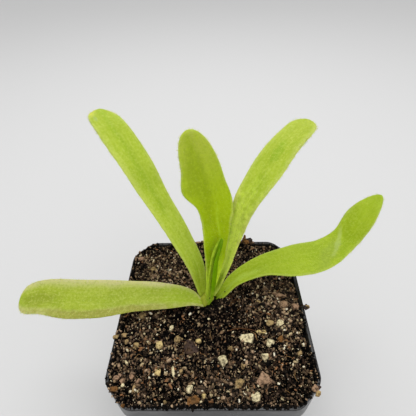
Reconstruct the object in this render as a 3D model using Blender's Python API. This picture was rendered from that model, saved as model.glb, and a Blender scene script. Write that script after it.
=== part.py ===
"""Potted butterwort: six fleshy strap leaves on a short crown, in a square black nursery pot.

Built in metres, +Z up. The origin is the centre of the pot's underside, and +Y points to the back.
"""

import math
import random
from typing import NamedTuple

import bmesh
import bpy
import numpy as np
from mathutils import Euler, Matrix, Vector, noise

MM = 0.001
GAP = 0.3 * MM

# Pot: a tapering square with cut corners and a thin lip
POT_TOP = 64 * MM
POT_BASE = 46 * MM
POT_HEIGHT = 60 * MM
POT_WALL = 0.8 * MM
POT_FLOOR = 1.2 * MM
LIP_WIDTH = 0.4 * MM
LIP_HEIGHT = 1.6 * MM
EDGE_ROUND = 0.3 * MM
CORNER_CUT = 8.2 * MM
CORNER_BEND = 3.6 * MM
BEND_STEPS = 3
DRAIN_RADIUS = 4 * MM
DRAIN_PLACE = 13 * MM
DRAIN_SIDES = 20
SHARP_EDGE = math.radians(40)
# how much a corner's cut shortens for each unit that its square is drawn in
OFFSET_CUT = 2 - math.sqrt(2)

# Soil: level with the lip but for a small drop, rising a little to the middle
SOIL_DROP = 1.4 * MM
SOIL_RISE = 0.8 * MM
SOIL_RINGS = 13
SOIL_SIDE_POINTS = 6
FIRST_RING = 0.97
LUMP_HEIGHT = 1.0 * MM
LUMP_SIZE = 9 * MM
CRUMB_HEIGHT = 0.6 * MM
CRUMB_SIZE = 3.2 * MM
CROWN_DIP = 0.9 * MM
DIP_SPREAD = 6 * MM

# Grains that are scattered between the ones placed by hand, in millimetres
GRAIN_COUNT = 38
GRAIN_SEED = 17
GRAIN_SIZES = (1.4, 2.8)
GRAIN_LENGTH = 1.3
GRAIN_FLATNESS = 0.9
GRAIN_UNEVEN = (0.82, 1.12)
GRAIN_TILT = 0.3
GRAIN_SPACE = 1.0
CLEAR_OF_CROWN = 8.0
CLEAR_OF_WALL = 4.5
CLEAR_OF_CORNER = 8.0

# Crown: a short stem, with its rootstock and roots below the soil
CROWN = Vector((-1.7, 3.0, 58.5)) * MM
CROWN_PROFILE = ((1.1, -12), (2.2, -8), (2.9, -3), (3.1, 0), (2.7, 2.0), (2.2, 3.4), (1.5, 4.3), (0.7, 4.7))
CROWN_STEPS = 20
ROOT_COUNT = 7
ROOT_LENGTH = 15 * MM
ROOT_THICK = 0.85 * MM
ROOT_THIN = 0.35 * MM
ROOT_DEPTH = 5.0 * MM
ROOT_SPREAD = 0.35
ROOT_SIDES = 7
ROOT_STEPS = 4

# Leaves: fleshy at the midrib, thin at the margins
MARGIN_SHARE = 0.5
BLADE_ALONG = 30
BLADE_ACROSS = 8
TIP_SHARE = 0.2
WAVE_HEIGHT = 0.25
WAVE_LENGTH = 17
WAVE_SHIFT = 2.0
LEAF_ROUGHNESS = 0.55


class Station(NamedTuple):
    """One place on a leaf's midrib, in millimetres and degrees."""

    out: float
    up: float
    side: float
    left: float
    right: float
    roll: float
    curl: float


class Leaf(NamedTuple):
    """A leaf: its heading round the crown, its rounded end, its thickness at the midrib, and its stations."""

    name: str
    heading: float
    end_length: float
    end_square: float
    thick: float
    colour: tuple
    stations: tuple


class Chip(NamedTuple):
    """A grain or chip on the soil: its place, its three sizes and its turn, in millimetres and degrees."""

    x: float
    y: float
    length: float
    width: float
    height: float
    turn: float


# out and up are measured from the crown's foot along the heading, and side to the left of it
LEAVES = (
    Leaf("leaf_left", 184, 5.5, 2.6, 1.4, (0.42, 0.50, 0.07), (
        Station(0.5, 1.0, 1.0, 1.3, 1.3, 10, 40),
        Station(1.8, 2.1, 1.3, 1.2, 1.3, 10, 30),
        Station(5.5, 3.6, 0.1, 2.9, 2.9, 15, 25),
        Station(15.4, 5.7, -0.3, 4.8, 4.7, 15, 20),
        Station(26.4, 6.9, 0.0, 5.6, 5.7, 15, 20),
        Station(36.1, 7.3, 0.6, 6.5, 6.9, 15, 20),
        Station(46.6, 7.4, 0.1, 6.5, 7.2, 15, 20),
        Station(57.0, 7.3, -1.6, 5.7, 6.6, 15, 20),
        Station(64.7, 6.6, -1.8, 5.0, 5.0, 15, 20),
    )),
    Leaf("leaf_back_left", 138, 6.0, 2.0, 1.5, (0.40, 0.53, 0.06), (
        Station(1.0, 0.5, 0.3, 1.3, 1.3, 0, 60),
        Station(2.9, 2.8, -0.4, 1.6, 1.6, 0, 55),
        Station(6.6, 13.5, -1.6, 3.4, 3.0, 0, 35),
        Station(12.3, 23.0, -1.5, 4.1, 3.9, 0, 30),
        Station(22.6, 35.0, -1.3, 4.6, 4.7, 0, 25),
        Station(32.9, 47.6, -1.3, 5.6, 5.5, 0, 22),
        Station(42.4, 56.4, -1.4, 5.7, 4.6, 0, 20),
        Station(48.0, 59.1, -2.2, 6.0, 3.5, 0, 20),
    )),
    Leaf("leaf_centre", 95, 14.0, 2.0, 1.5, (0.33, 0.42, 0.04), (
        Station(0.5, 2.2, 0.1, 1.0, 1.0, 0, 35),
        Station(0.9, 5.2, -0.8, 1.4, 1.3, 0, 30),
        Station(4.7, 15.8, -3.8, 4.2, 2.4, 0, 34),
        Station(7.6, 25.7, -4.3, 5.3, 4.3, 0, 46),
        Station(9.5, 32.6, -2.8, 3.7, 6.9, 0, 38),
        Station(10.8, 37.5, -2.7, 4.8, 7.1, 0, 20),
        Station(12.7, 43.3, -1.5, 7.6, 6.4, 0, 14),
        Station(14.5, 48.7, -0.2, 6.2, 6.1, 0, 14),
        Station(17.8, 59.4, 2.7, 6.4, 6.3, 0, 14),
    )),
    Leaf("leaf_back_right", 40, 7.0, 2.0, 1.5, (0.42, 0.53, 0.07), (
        Station(0.8, 1.4, 0.2, 1.0, 1.0, -15, 55),
        Station(3.2, 3.9, 0.2, 1.1, 1.2, -15, 50),
        Station(8.4, 13.1, 0.4, 1.8, 2.1, -15, 35),
        Station(12.6, 23.7, 0.5, 2.6, 2.6, -10, 28),
        Station(17.3, 38.0, 0.3, 4.2, 5.1, 0, 22),
        Station(24.9, 46.0, 0.3, 4.9, 6.5, 0, 20),
        Station(32.0, 52.0, 0.7, 4.1, 6.6, 0, 20),
        Station(39.4, 55.0, 0.9, 3.7, 6.3, 0, 20),
        Station(44.4, 55.9, 1.2, 3.7, 5.7, 0, 20),
    )),
    Leaf("leaf_right", 20, 12.0, 2.0, 1.5, (0.38, 0.50, 0.06), (
        Station(0.6, 0.4, -0.2, 1.2, 1.2, 0, 50),
        Station(3.3, 1.6, -0.3, 1.5, 1.6, 0, 45),
        Station(11.1, 6.1, 1.7, 2.9, 3.0, 0, 30),
        Station(22.7, 10.1, 0.9, 4.6, 4.7, 0, 25),
        Station(32.5, 11.5, -1.8, 6.4, 7.0, 0, 20),
        Station(44.0, 12.9, -3.8, 6.4, 6.3, 0, 20),
        Station(52.0, 16.8, -3.4, 5.6, 4.6, 0, 20),
        Station(57.6, 22.9, -1.9, 6.2, 4.8, 0, 20),
        Station(65.8, 30.2, 0.6, 4.6, 3.1, 0, 15),
    )),
    Leaf("leaf_young", 90, 7.0, 2.0, 1.1, (0.12, 0.25, 0.01), (
        Station(-1.5, 2.6, 0.0, 1.0, 1.0, 0, 60),
        Station(-1.5, 5.1, -0.9, 1.5, 1.4, 0, 100),
        Station(1.0, 14.8, -3.3, 2.0, 2.0, 0, 140),
        Station(3.0, 22.4, -4.5, 1.6, 1.7, 0, 130),
        Station(4.8, 28.3, -5.8, 1.3, 1.3, 0, 100),
    )),
)

# the larger grains and chips that stand out on the soil
CHIPS = (
    Chip(11.5, -10.9, 4.4, 3.8, 3.0, 20),
    Chip(3.2, -18.1, 4.2, 2.9, 2.6, 100),
    Chip(18.6, -12.1, 2.9, 2.6, 2.4, 0),
    Chip(-17.3, -12.8, 2.8, 2.6, 2.2, 50),
    Chip(-11.0, -11.1, 2.8, 2.4, 2.0, 10),
    Chip(-16.5, -21.0, 2.2, 1.9, 1.8, 70),
    Chip(12.6, -27.6, 3.3, 2.8, 2.4, 30),
    Chip(-6.0, -27.8, 4.2, 3.6, 2.8, 15),
    Chip(-6.8, -13.9, 5.6, 4.0, 1.4, -30),
    Chip(15.3, -23.1, 5.0, 3.8, 2.2, 25),
    Chip(23.4, 5.6, 5.6, 2.6, 2.0, -35),
    Chip(24.4, 1.0, 5.0, 3.0, 1.6, -65),
    Chip(-26.0, -22.0, 3.8, 2.8, 2.2, 60),
    Chip(-24.6, -2.1, 3.0, 2.6, 2.0, 0),
    Chip(22.6, -5.1, 3.0, 2.2, 2.0, 40),
    Chip(8.1, -24.6, 3.2, 2.6, 2.2, 80),
    Chip(16.0, -8.0, 3.8, 1.6, 1.4, -10),
    Chip(-23.6, 18.4, 3.2, 2.6, 2.0, 30),
    Chip(11.6, 27.4, 4.6, 3.6, 3.4, 15),
)


def clear_scene():
    """Removes whatever the file holds, so that the model stands alone."""
    for item in list(bpy.data.objects):
        bpy.data.objects.remove(item, do_unlink=True)


def plain_material(name, colour, roughness):
    """A Principled material of one colour."""
    material = bpy.data.materials.new(name)
    material.use_nodes = True
    shader = material.node_tree.nodes["Principled BSDF"]
    shader.inputs["Base Color"].default_value = (*colour, 1.0)
    shader.inputs["Roughness"].default_value = roughness
    shader.inputs["Metallic"].default_value = 0.0
    return material


def object_from(bm, name, material=None):
    """Turns a bmesh into a smooth-shaded object in the scene."""
    mesh = bpy.data.meshes.new(name)
    bm.to_mesh(mesh)
    bm.free()
    item = bpy.data.objects.new(name, mesh)
    bpy.context.scene.collection.objects.link(item)
    if material:
        mesh.materials.append(material)
    mesh.shade_smooth()
    return item


def hide_cutter(item):
    """Marks an object as a cutter, which is no piece of the plant."""
    item.hide_render = True
    item.display_type = "WIRE"


def add_boolean(item, operation, other):
    """Adds an exact Boolean with one object or with a collection of them."""
    modifier = item.modifiers.new(operation.title(), "BOOLEAN")
    modifier.operation = operation
    modifier.solver = "EXACT"
    if isinstance(other, bpy.types.Collection):
        modifier.operand_type = "COLLECTION"
        modifier.collection = other
    else:
        modifier.object = other
    return modifier


def fuse(item, pieces):
    """Joins many closed shapes to an object by one union, and removes them."""
    collection = bpy.data.collections.new(item.name + "_pieces")
    for piece in pieces:
        collection.objects.link(piece)
    add_boolean(item, "UNION", collection)
    bpy.context.view_layer.update()
    evaluated = item.evaluated_get(bpy.context.evaluated_depsgraph_get())
    fused = bpy.data.meshes.new_from_object(evaluated)
    item.modifiers.clear()
    item.data = fused
    for piece in pieces:
        bpy.data.objects.remove(piece, do_unlink=True)
    bpy.data.collections.remove(collection)


def skin(bm, rings):
    """Joins closed rings of points, each to the next, and caps both ends."""
    rows = [[bm.verts.new(point) for point in ring] for ring in rings]
    for low, high in zip(rows, rows[1:]):
        for i in range(len(low)):
            j = (i + 1) % len(low)
            bm.faces.new((low[i], low[j], high[j], high[i]))
    bm.faces.new(reversed(rows[0]))
    bm.faces.new(rows[-1])


def cut_square(side, cut, between=0):
    """A square with its corners cut off and its eight bends rounded, as points anticlockwise."""
    half = side / 2
    bends = []
    for quarter in range(4):
        turn = Matrix.Rotation(quarter * math.pi / 2, 2)
        bends += [turn @ Vector((half, half - cut)), turn @ Vector((half - cut, half))]
    arcs = []
    for before, here, after in zip(bends[-1:] + bends, bends, bends[1:] + bends[:1]):
        start = here + (before - here).normalized() * CORNER_BEND
        end = here + (after - here).normalized() * CORNER_BEND
        steps = [i / BEND_STEPS for i in range(BEND_STEPS + 1)]
        arcs.append([start.lerp(here, t).lerp(here.lerp(end, t), t) for t in steps])
    points = []
    for number, (arc, following) in enumerate(zip(arcs, arcs[1:] + arcs[:1])):
        points += arc
        if number % 2:
            points += [arc[-1].lerp(following[0], (i + 1) / (between + 1)) for i in range(between)]
    return points


def pot_side(height):
    """The pot's outer width under the lip, at a height."""
    return POT_BASE + (POT_TOP - 2 * LIP_WIDTH - POT_BASE) * height / POT_HEIGHT


def inner_ring(height, inset, between=0):
    """The outline inside the pot's wall at a height, drawn in by an inset."""
    inwards = POT_WALL + inset
    return cut_square(pot_side(height) - 2 * inwards, CORNER_CUT - OFFSET_CUT * inwards, between)


def at_height(points, height):
    """Flat points lifted to one height."""
    return [Vector((point.x, point.y, height)) for point in points]


def make_pot(material):
    """The pot: one moulded wall and floor with a thin lip, and four drain holes in the floor."""
    under_lip = POT_HEIGHT - LIP_HEIGHT
    rings = [
        at_height(cut_square(POT_BASE - 2 * EDGE_ROUND, CORNER_CUT), 0),
        at_height(cut_square(pot_side(EDGE_ROUND), CORNER_CUT), EDGE_ROUND),
        at_height(cut_square(pot_side(under_lip), CORNER_CUT), under_lip),
        at_height(cut_square(POT_TOP, CORNER_CUT), under_lip + EDGE_ROUND),
        at_height(cut_square(POT_TOP, CORNER_CUT), POT_HEIGHT - EDGE_ROUND),
        at_height(cut_square(POT_TOP - 2 * EDGE_ROUND, CORNER_CUT), POT_HEIGHT),
        at_height(inner_ring(POT_HEIGHT, 0), POT_HEIGHT),
        at_height(inner_ring(POT_FLOOR, 0), POT_FLOOR),
    ]
    bm = bmesh.new()
    skin(bm, rings)
    pot = object_from(bm, "pot", material)

    bm = bmesh.new()
    for x in (-DRAIN_PLACE, DRAIN_PLACE):
        for y in (-DRAIN_PLACE, DRAIN_PLACE):
            place = Matrix.Translation((x, y, POT_FLOOR / 2))
            bmesh.ops.create_cone(bm, cap_ends=True, segments=DRAIN_SIDES, radius1=DRAIN_RADIUS,
                                  radius2=DRAIN_RADIUS, depth=3 * POT_FLOOR, matrix=place)
    drains = object_from(bm, "drain_cutter")
    hide_cutter(drains)
    add_boolean(pot, "DIFFERENCE", drains)
    pot.data.set_sharp_from_angle(angle=SHARP_EDGE)
    return pot


def soil_height(x, y):
    """The height of the soil's surface: a low rise, lumps, crumbs, and a dip round the crown."""
    level = POT_HEIGHT - SOIL_DROP
    rise = SOIL_RISE * (1 - (x * x + y * y) / (POT_TOP / 2) ** 2)
    lumps = LUMP_HEIGHT * noise.noise(Vector((x, y, 0)) / LUMP_SIZE)
    crumbs = CRUMB_HEIGHT * noise.noise(Vector((x, y, 1)) / CRUMB_SIZE)
    from_crown = (Vector((x, y)) - CROWN.xy).length / DIP_SPREAD
    dip = CROWN_DIP * math.exp(-from_crown * from_crown)
    return level + rise + lumps + crumbs - dip


def make_grain(name, chip, generator):
    """One grain: a faceted ball squeezed to its three sizes, uneven, and set half into the soil."""
    bm = bmesh.new()
    bmesh.ops.create_icosphere(bm, subdivisions=1, radius=0.5)
    for vertex in bm.verts:
        vertex.co *= generator.uniform(*GRAIN_UNEVEN)
    tilts = [generator.uniform(-GRAIN_TILT, GRAIN_TILT) for _ in range(2)]
    turn = Euler((*tilts, math.radians(chip.turn)))
    size = Matrix.Diagonal(Vector((chip.length, chip.width, chip.height)) * MM)
    seat = Vector((chip.x * MM, chip.y * MM, soil_height(chip.x * MM, chip.y * MM)))
    bm.transform(Matrix.Translation(seat) @ turn.to_matrix().to_4x4() @ size.to_4x4())
    return object_from(bm, name)


def scattered_chips(generator):
    """Chips drawn at random on the soil, clear of the crown, the wall and one another."""
    chips = list(CHIPS)
    reach = pot_side(POT_HEIGHT) / MM / 2 - CLEAR_OF_WALL
    while len(chips) < len(CHIPS) + GRAIN_COUNT:
        x = generator.uniform(-reach, reach)
        y = generator.uniform(-reach, reach)
        size = generator.uniform(*GRAIN_SIZES)
        clear_of_crown = math.dist((x, y), CROWN.xy / MM) > CLEAR_OF_CROWN
        in_corner = abs(x) + abs(y) > 2 * reach - CLEAR_OF_CORNER
        spaces = [math.dist((x, y), (chip.x, chip.y)) - (size + chip.length) / 2 for chip in chips]
        if clear_of_crown and min(spaces) > GRAIN_SPACE and not in_corner:
            turn = generator.uniform(0, 180)
            chips.append(Chip(x, y, size * GRAIN_LENGTH, size, size * GRAIN_FLATNESS, turn))
    return chips


def make_soil(material, crown_space):
    """The soil: one body that fills the pot, with its surface, its grains and the crown's place in it."""
    bottom = POT_FLOOR + GAP
    outline = inner_ring(POT_HEIGHT - SOIL_DROP, GAP, SOIL_SIDE_POINTS)
    rings = [at_height(inner_ring(bottom, GAP, SOIL_SIDE_POINTS), bottom)]
    rim = []
    for index, point in enumerate(outline):
        top = soil_height(point.x, point.y)
        rim.append(inner_ring(top, GAP, SOIL_SIDE_POINTS)[index].to_3d() + Vector((0, 0, top)))
    rings.append(rim)
    middle = CROWN.xy
    for number in range(SOIL_RINGS):
        share = FIRST_RING * (1 - number / SOIL_RINGS)
        flat = [middle + (point - middle) * share for point in outline]
        rings.append([Vector((point.x, point.y, soil_height(point.x, point.y))) for point in flat])
    rings[-1] = at_height(rings[-1], soil_height(middle.x, middle.y))
    bm = bmesh.new()
    skin(bm, rings)
    soil = object_from(bm, "soil", material)

    generator = random.Random(GRAIN_SEED)
    chips = scattered_chips(generator)
    fuse(soil, [make_grain(f"grain_{number}", chip, generator) for number, chip in enumerate(chips)])
    soil.data.materials.clear()
    soil.data.materials.append(material)
    add_boolean(soil, "DIFFERENCE", crown_space)
    return soil


def crown_body(bm, grow):
    """The crown and rootstock, turned about an upright axis and grown outwards by an amount."""
    profile = [Vector((radius * MM + grow, 0, height * MM)) for radius, height in CROWN_PROFILE]
    profile[0].z -= grow
    profile[-1].z += grow
    profile = [Vector((0, 0, profile[0].z))] + profile + [Vector((0, 0, profile[-1].z))]
    vertices = [bm.verts.new(point) for point in profile]
    edges = [bm.edges.new(pair) for pair in zip(vertices, vertices[1:])]
    bmesh.ops.spin(bm, geom=vertices + edges, cent=(0, 0, 0), axis=(0, 0, 1), angle=math.tau,
                   steps=CROWN_STEPS, use_merge=True)
    bmesh.ops.remove_doubles(bm, verts=bm.verts, dist=0.00001)
    bmesh.ops.recalc_face_normals(bm, faces=bm.faces)
    bmesh.ops.translate(bm, verts=bm.verts, vec=CROWN)


def root_rings(number, grow):
    """The rings of one root, which leaves the rootstock sideways and bends down."""
    heading = math.tau * (number + ROOT_SPREAD * math.sin(5 * number)) / ROOT_COUNT
    outwards = Vector((math.cos(heading), math.sin(heading), 0))
    across = Vector((-outwards.y, outwards.x, 0))
    start = CROWN - Vector((0, 0, ROOT_DEPTH + number % 3 * MM))
    length = ROOT_LENGTH * (0.8 + 0.1 * (number % 4)) + grow
    rings = []
    for step in range(ROOT_STEPS + 1):
        share = step / ROOT_STEPS
        fall = 0.35 * share + 0.45 * share * share
        centre = start + length * (outwards * share * (1 - 0.25 * share) - Vector((0, 0, fall)))
        along = (outwards * (1 - 0.5 * share) - Vector((0, 0, 0.35 + 0.9 * share))).normalized()
        radius = ROOT_THICK + (ROOT_THIN - ROOT_THICK) * share + grow
        upwards = across.cross(along)
        angles = [math.tau * side / ROOT_SIDES for side in range(ROOT_SIDES)]
        rings.append([centre + radius * (across * math.cos(a) - upwards * math.sin(a)) for a in angles])
    return rings


def crown_with_roots(name, grow, material=None):
    """The crown with its roots, fused into one body."""
    bm = bmesh.new()
    crown_body(bm, grow)
    crown = object_from(bm, name, material)
    roots = []
    for number in range(ROOT_COUNT):
        bm = bmesh.new()
        skin(bm, root_rings(number, grow))
        bmesh.ops.recalc_face_normals(bm, faces=bm.faces)
        roots.append(object_from(bm, f"{name}_root_{number}"))
    fuse(crown, roots)
    return crown


def through(knots, rows, places):
    """Rows of values at places between knots, on a smooth curve through every given row."""
    slopes = np.gradient(rows, knots, axis=0)
    before = np.clip(np.searchsorted(knots, places, side="right") - 1, 0, len(knots) - 2)
    span = (knots[before + 1] - knots[before])[:, None]
    t = (places - knots[before])[:, None] / span
    start = (1 + 2 * t) * (1 - t) ** 2 * rows[before] + t * (1 - t) ** 2 * span * slopes[before]
    end = t * t * (3 - 2 * t) * rows[before + 1] - t * t * (1 - t) * span * slopes[before + 1]
    return start + end


class Midrib:
    """A leaf's midrib as a smooth curve that also carries the blade's widths, roll and curl."""

    def __init__(self, leaf):
        heading = math.radians(leaf.heading)
        outwards = np.array((math.cos(heading), math.sin(heading), 0.0))
        leftwards = np.array((-math.sin(heading), math.cos(heading), 0.0))
        table = np.array(leaf.stations, dtype=float)
        places = table[:, :1] * outwards + table[:, 1:2] * (0.0, 0.0, 1.0) + table[:, 2:3] * leftwards
        self.rows = np.hstack((places, table[:, 3:]))
        steps = np.linalg.norm(np.diff(places, axis=0), axis=1)
        self.knots = np.concatenate(((0.0,), np.cumsum(steps)))
        self.length = self.knots[-1]
        self.end_length = leaf.end_length
        self.end_square = leaf.end_square
        chord = places[-1] - places[0]
        chord /= np.linalg.norm(chord)
        self.faces = np.array((0.0, 0.0, 1.0)) - chord * chord[2]

    def at(self, place):
        """The values at one distance along the midrib, in millimetres."""
        return through(self.knots, self.rows, np.array((place,)))[0]

    def frame(self, place):
        """The blade's centre, its rightward direction and its upper side at one distance."""
        row = self.at(place)
        low = max(place - 0.5, 0.0)
        high = min(place + 0.5, self.length)
        along = self.at(high)[:3] - self.at(low)[:3]
        along /= np.linalg.norm(along)
        rightwards = np.cross(along, self.faces)
        rightwards /= np.linalg.norm(rightwards)
        upwards = np.cross(rightwards, along)
        roll = math.radians(row[5])
        turned = rightwards * math.cos(roll) + upwards * math.sin(roll)
        return row, turned, np.cross(turned, along)

    def point(self, across, along):
        """The blade's middle surface: across runs from -1 to 1, along from 0 at the base to 1 at the end."""
        straight = self.length - self.end_length
        if along < 1 - TIP_SHARE:
            place = straight * along / (1 - TIP_SHARE)
            rounding = 1.0
        else:
            angle = (along - 1 + TIP_SHARE) / TIP_SHARE * math.pi / 2
            place = straight + self.end_length * math.sin(angle)
            rounding = max(0.0, 1 - math.sin(angle) ** self.end_square) ** (1 / self.end_square)
        row, rightwards, upwards = self.frame(place)
        width = (row[3] if across < 0 else row[4]) * rounding
        curl = math.radians(row[6]) * rounding + 0.0001
        turned = curl * abs(across)
        reach = width * math.sin(turned) / curl
        lift = width * (1 - math.cos(turned)) / curl
        wave_phase = math.tau * place / WAVE_LENGTH + (0.0 if across < 0 else WAVE_SHIFT)
        lift += WAVE_HEIGHT * across * across * rounding * math.sin(wave_phase) * along
        return Vector(row[:3] + rightwards * math.copysign(reach, across) + upwards * lift) * MM + CROWN


def make_leaf(leaf, crown_core):
    """One leaf: a curved grid given thickness, thin at its margins, and cut back where it meets the crown."""
    bm = bmesh.new()
    bmesh.ops.create_grid(bm, x_segments=BLADE_ACROSS, y_segments=BLADE_ALONG, size=1.0)
    midrib = Midrib(leaf)
    weights = bm.verts.layers.deform.verify()
    for vertex in bm.verts:
        across = vertex.co.x
        vertex[weights][0] = 1 - (1 - MARGIN_SHARE) * across * across
        vertex.co = midrib.point(across, (vertex.co.y + 1) / 2)
    bmesh.ops.remove_doubles(bm, verts=bm.verts, dist=0.00001)
    bmesh.ops.triangulate(bm, faces=bm.faces)
    item = object_from(bm, leaf.name, plain_material(leaf.name, leaf.colour, LEAF_ROUGHNESS))
    item.vertex_groups.new(name="thickness")
    blade = item.modifiers.new("Blade", "SOLIDIFY")
    blade.thickness = leaf.thick * MM
    blade.offset = 0.0
    blade.vertex_group = "thickness"
    add_boolean(item, "DIFFERENCE", crown_core)
    return item


def main():
    """Builds the pot, the soil, the crown and every leaf."""
    clear_scene()
    make_pot(plain_material("pot_plastic", (0.015, 0.015, 0.016), 0.38))
    crown_with_roots("crown", 0.0, plain_material("crown_green", (0.22, 0.27, 0.06), 0.6))
    crown_space = crown_with_roots("crown_space", GAP)
    hide_cutter(crown_space)
    make_soil(plain_material("potting_mix", (0.035, 0.022, 0.014), 0.95), crown_space)

    bm = bmesh.new()
    crown_body(bm, GAP)
    crown_core = object_from(bm, "crown_core_space")
    hide_cutter(crown_core)
    for leaf in LEAVES:
        make_leaf(leaf, crown_core)


if __name__ == "__main__":
    main()
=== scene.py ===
"""Looks for a potted butterwort: six fleshy leaves on a short crown, in gritty soil in a square black pot.

Sizes in tables are millimetres and degrees. Everything that is built is in metres, in the frame's axes: +Z
up, +Y to the back, and the origin in the middle of the pot's underside.
"""

import logging
import math
from dataclasses import dataclass
from enum import Enum
from typing import Any, Callable, NamedTuple, Sequence

import bmesh
import bpy
import numpy as np
from mathutils import Euler, Matrix, Vector, noise


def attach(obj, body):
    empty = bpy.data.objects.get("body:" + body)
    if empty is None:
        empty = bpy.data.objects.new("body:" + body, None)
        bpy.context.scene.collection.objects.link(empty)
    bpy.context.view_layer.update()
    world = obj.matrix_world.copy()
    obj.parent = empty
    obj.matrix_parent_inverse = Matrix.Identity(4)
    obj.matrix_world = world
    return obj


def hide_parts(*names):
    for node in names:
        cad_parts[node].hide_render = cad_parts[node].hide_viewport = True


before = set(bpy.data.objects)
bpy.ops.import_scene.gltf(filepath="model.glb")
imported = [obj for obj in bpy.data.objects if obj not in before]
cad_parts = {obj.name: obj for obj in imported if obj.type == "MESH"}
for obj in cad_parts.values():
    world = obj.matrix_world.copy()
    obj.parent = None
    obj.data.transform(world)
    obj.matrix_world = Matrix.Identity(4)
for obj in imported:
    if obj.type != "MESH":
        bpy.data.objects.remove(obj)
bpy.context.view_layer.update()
LOG = logging.getLogger("butterwort")

MM = 0.001
MERGE = 1e-6
ALMOST_FLAT = 0.0001
SEED = 5
Colour = tuple[float, float, float]


def screen(red: int, green: int, blue: int) -> Colour:
    """Turns a colour as a screen shows it into the linear values that a material takes.

    Args:
        red: The red part, from 0 to 255.
        green: The green part, from 0 to 255.
        blue: The blue part, from 0 to 255.

    Returns:
        The linear colour.
    """
    parts = [part / 255 for part in (red, green, blue)]
    return tuple(part / 12.92 if part < 0.04045 else ((part + 0.055) / 1.055) ** 2.4 for part in parts)


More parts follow.
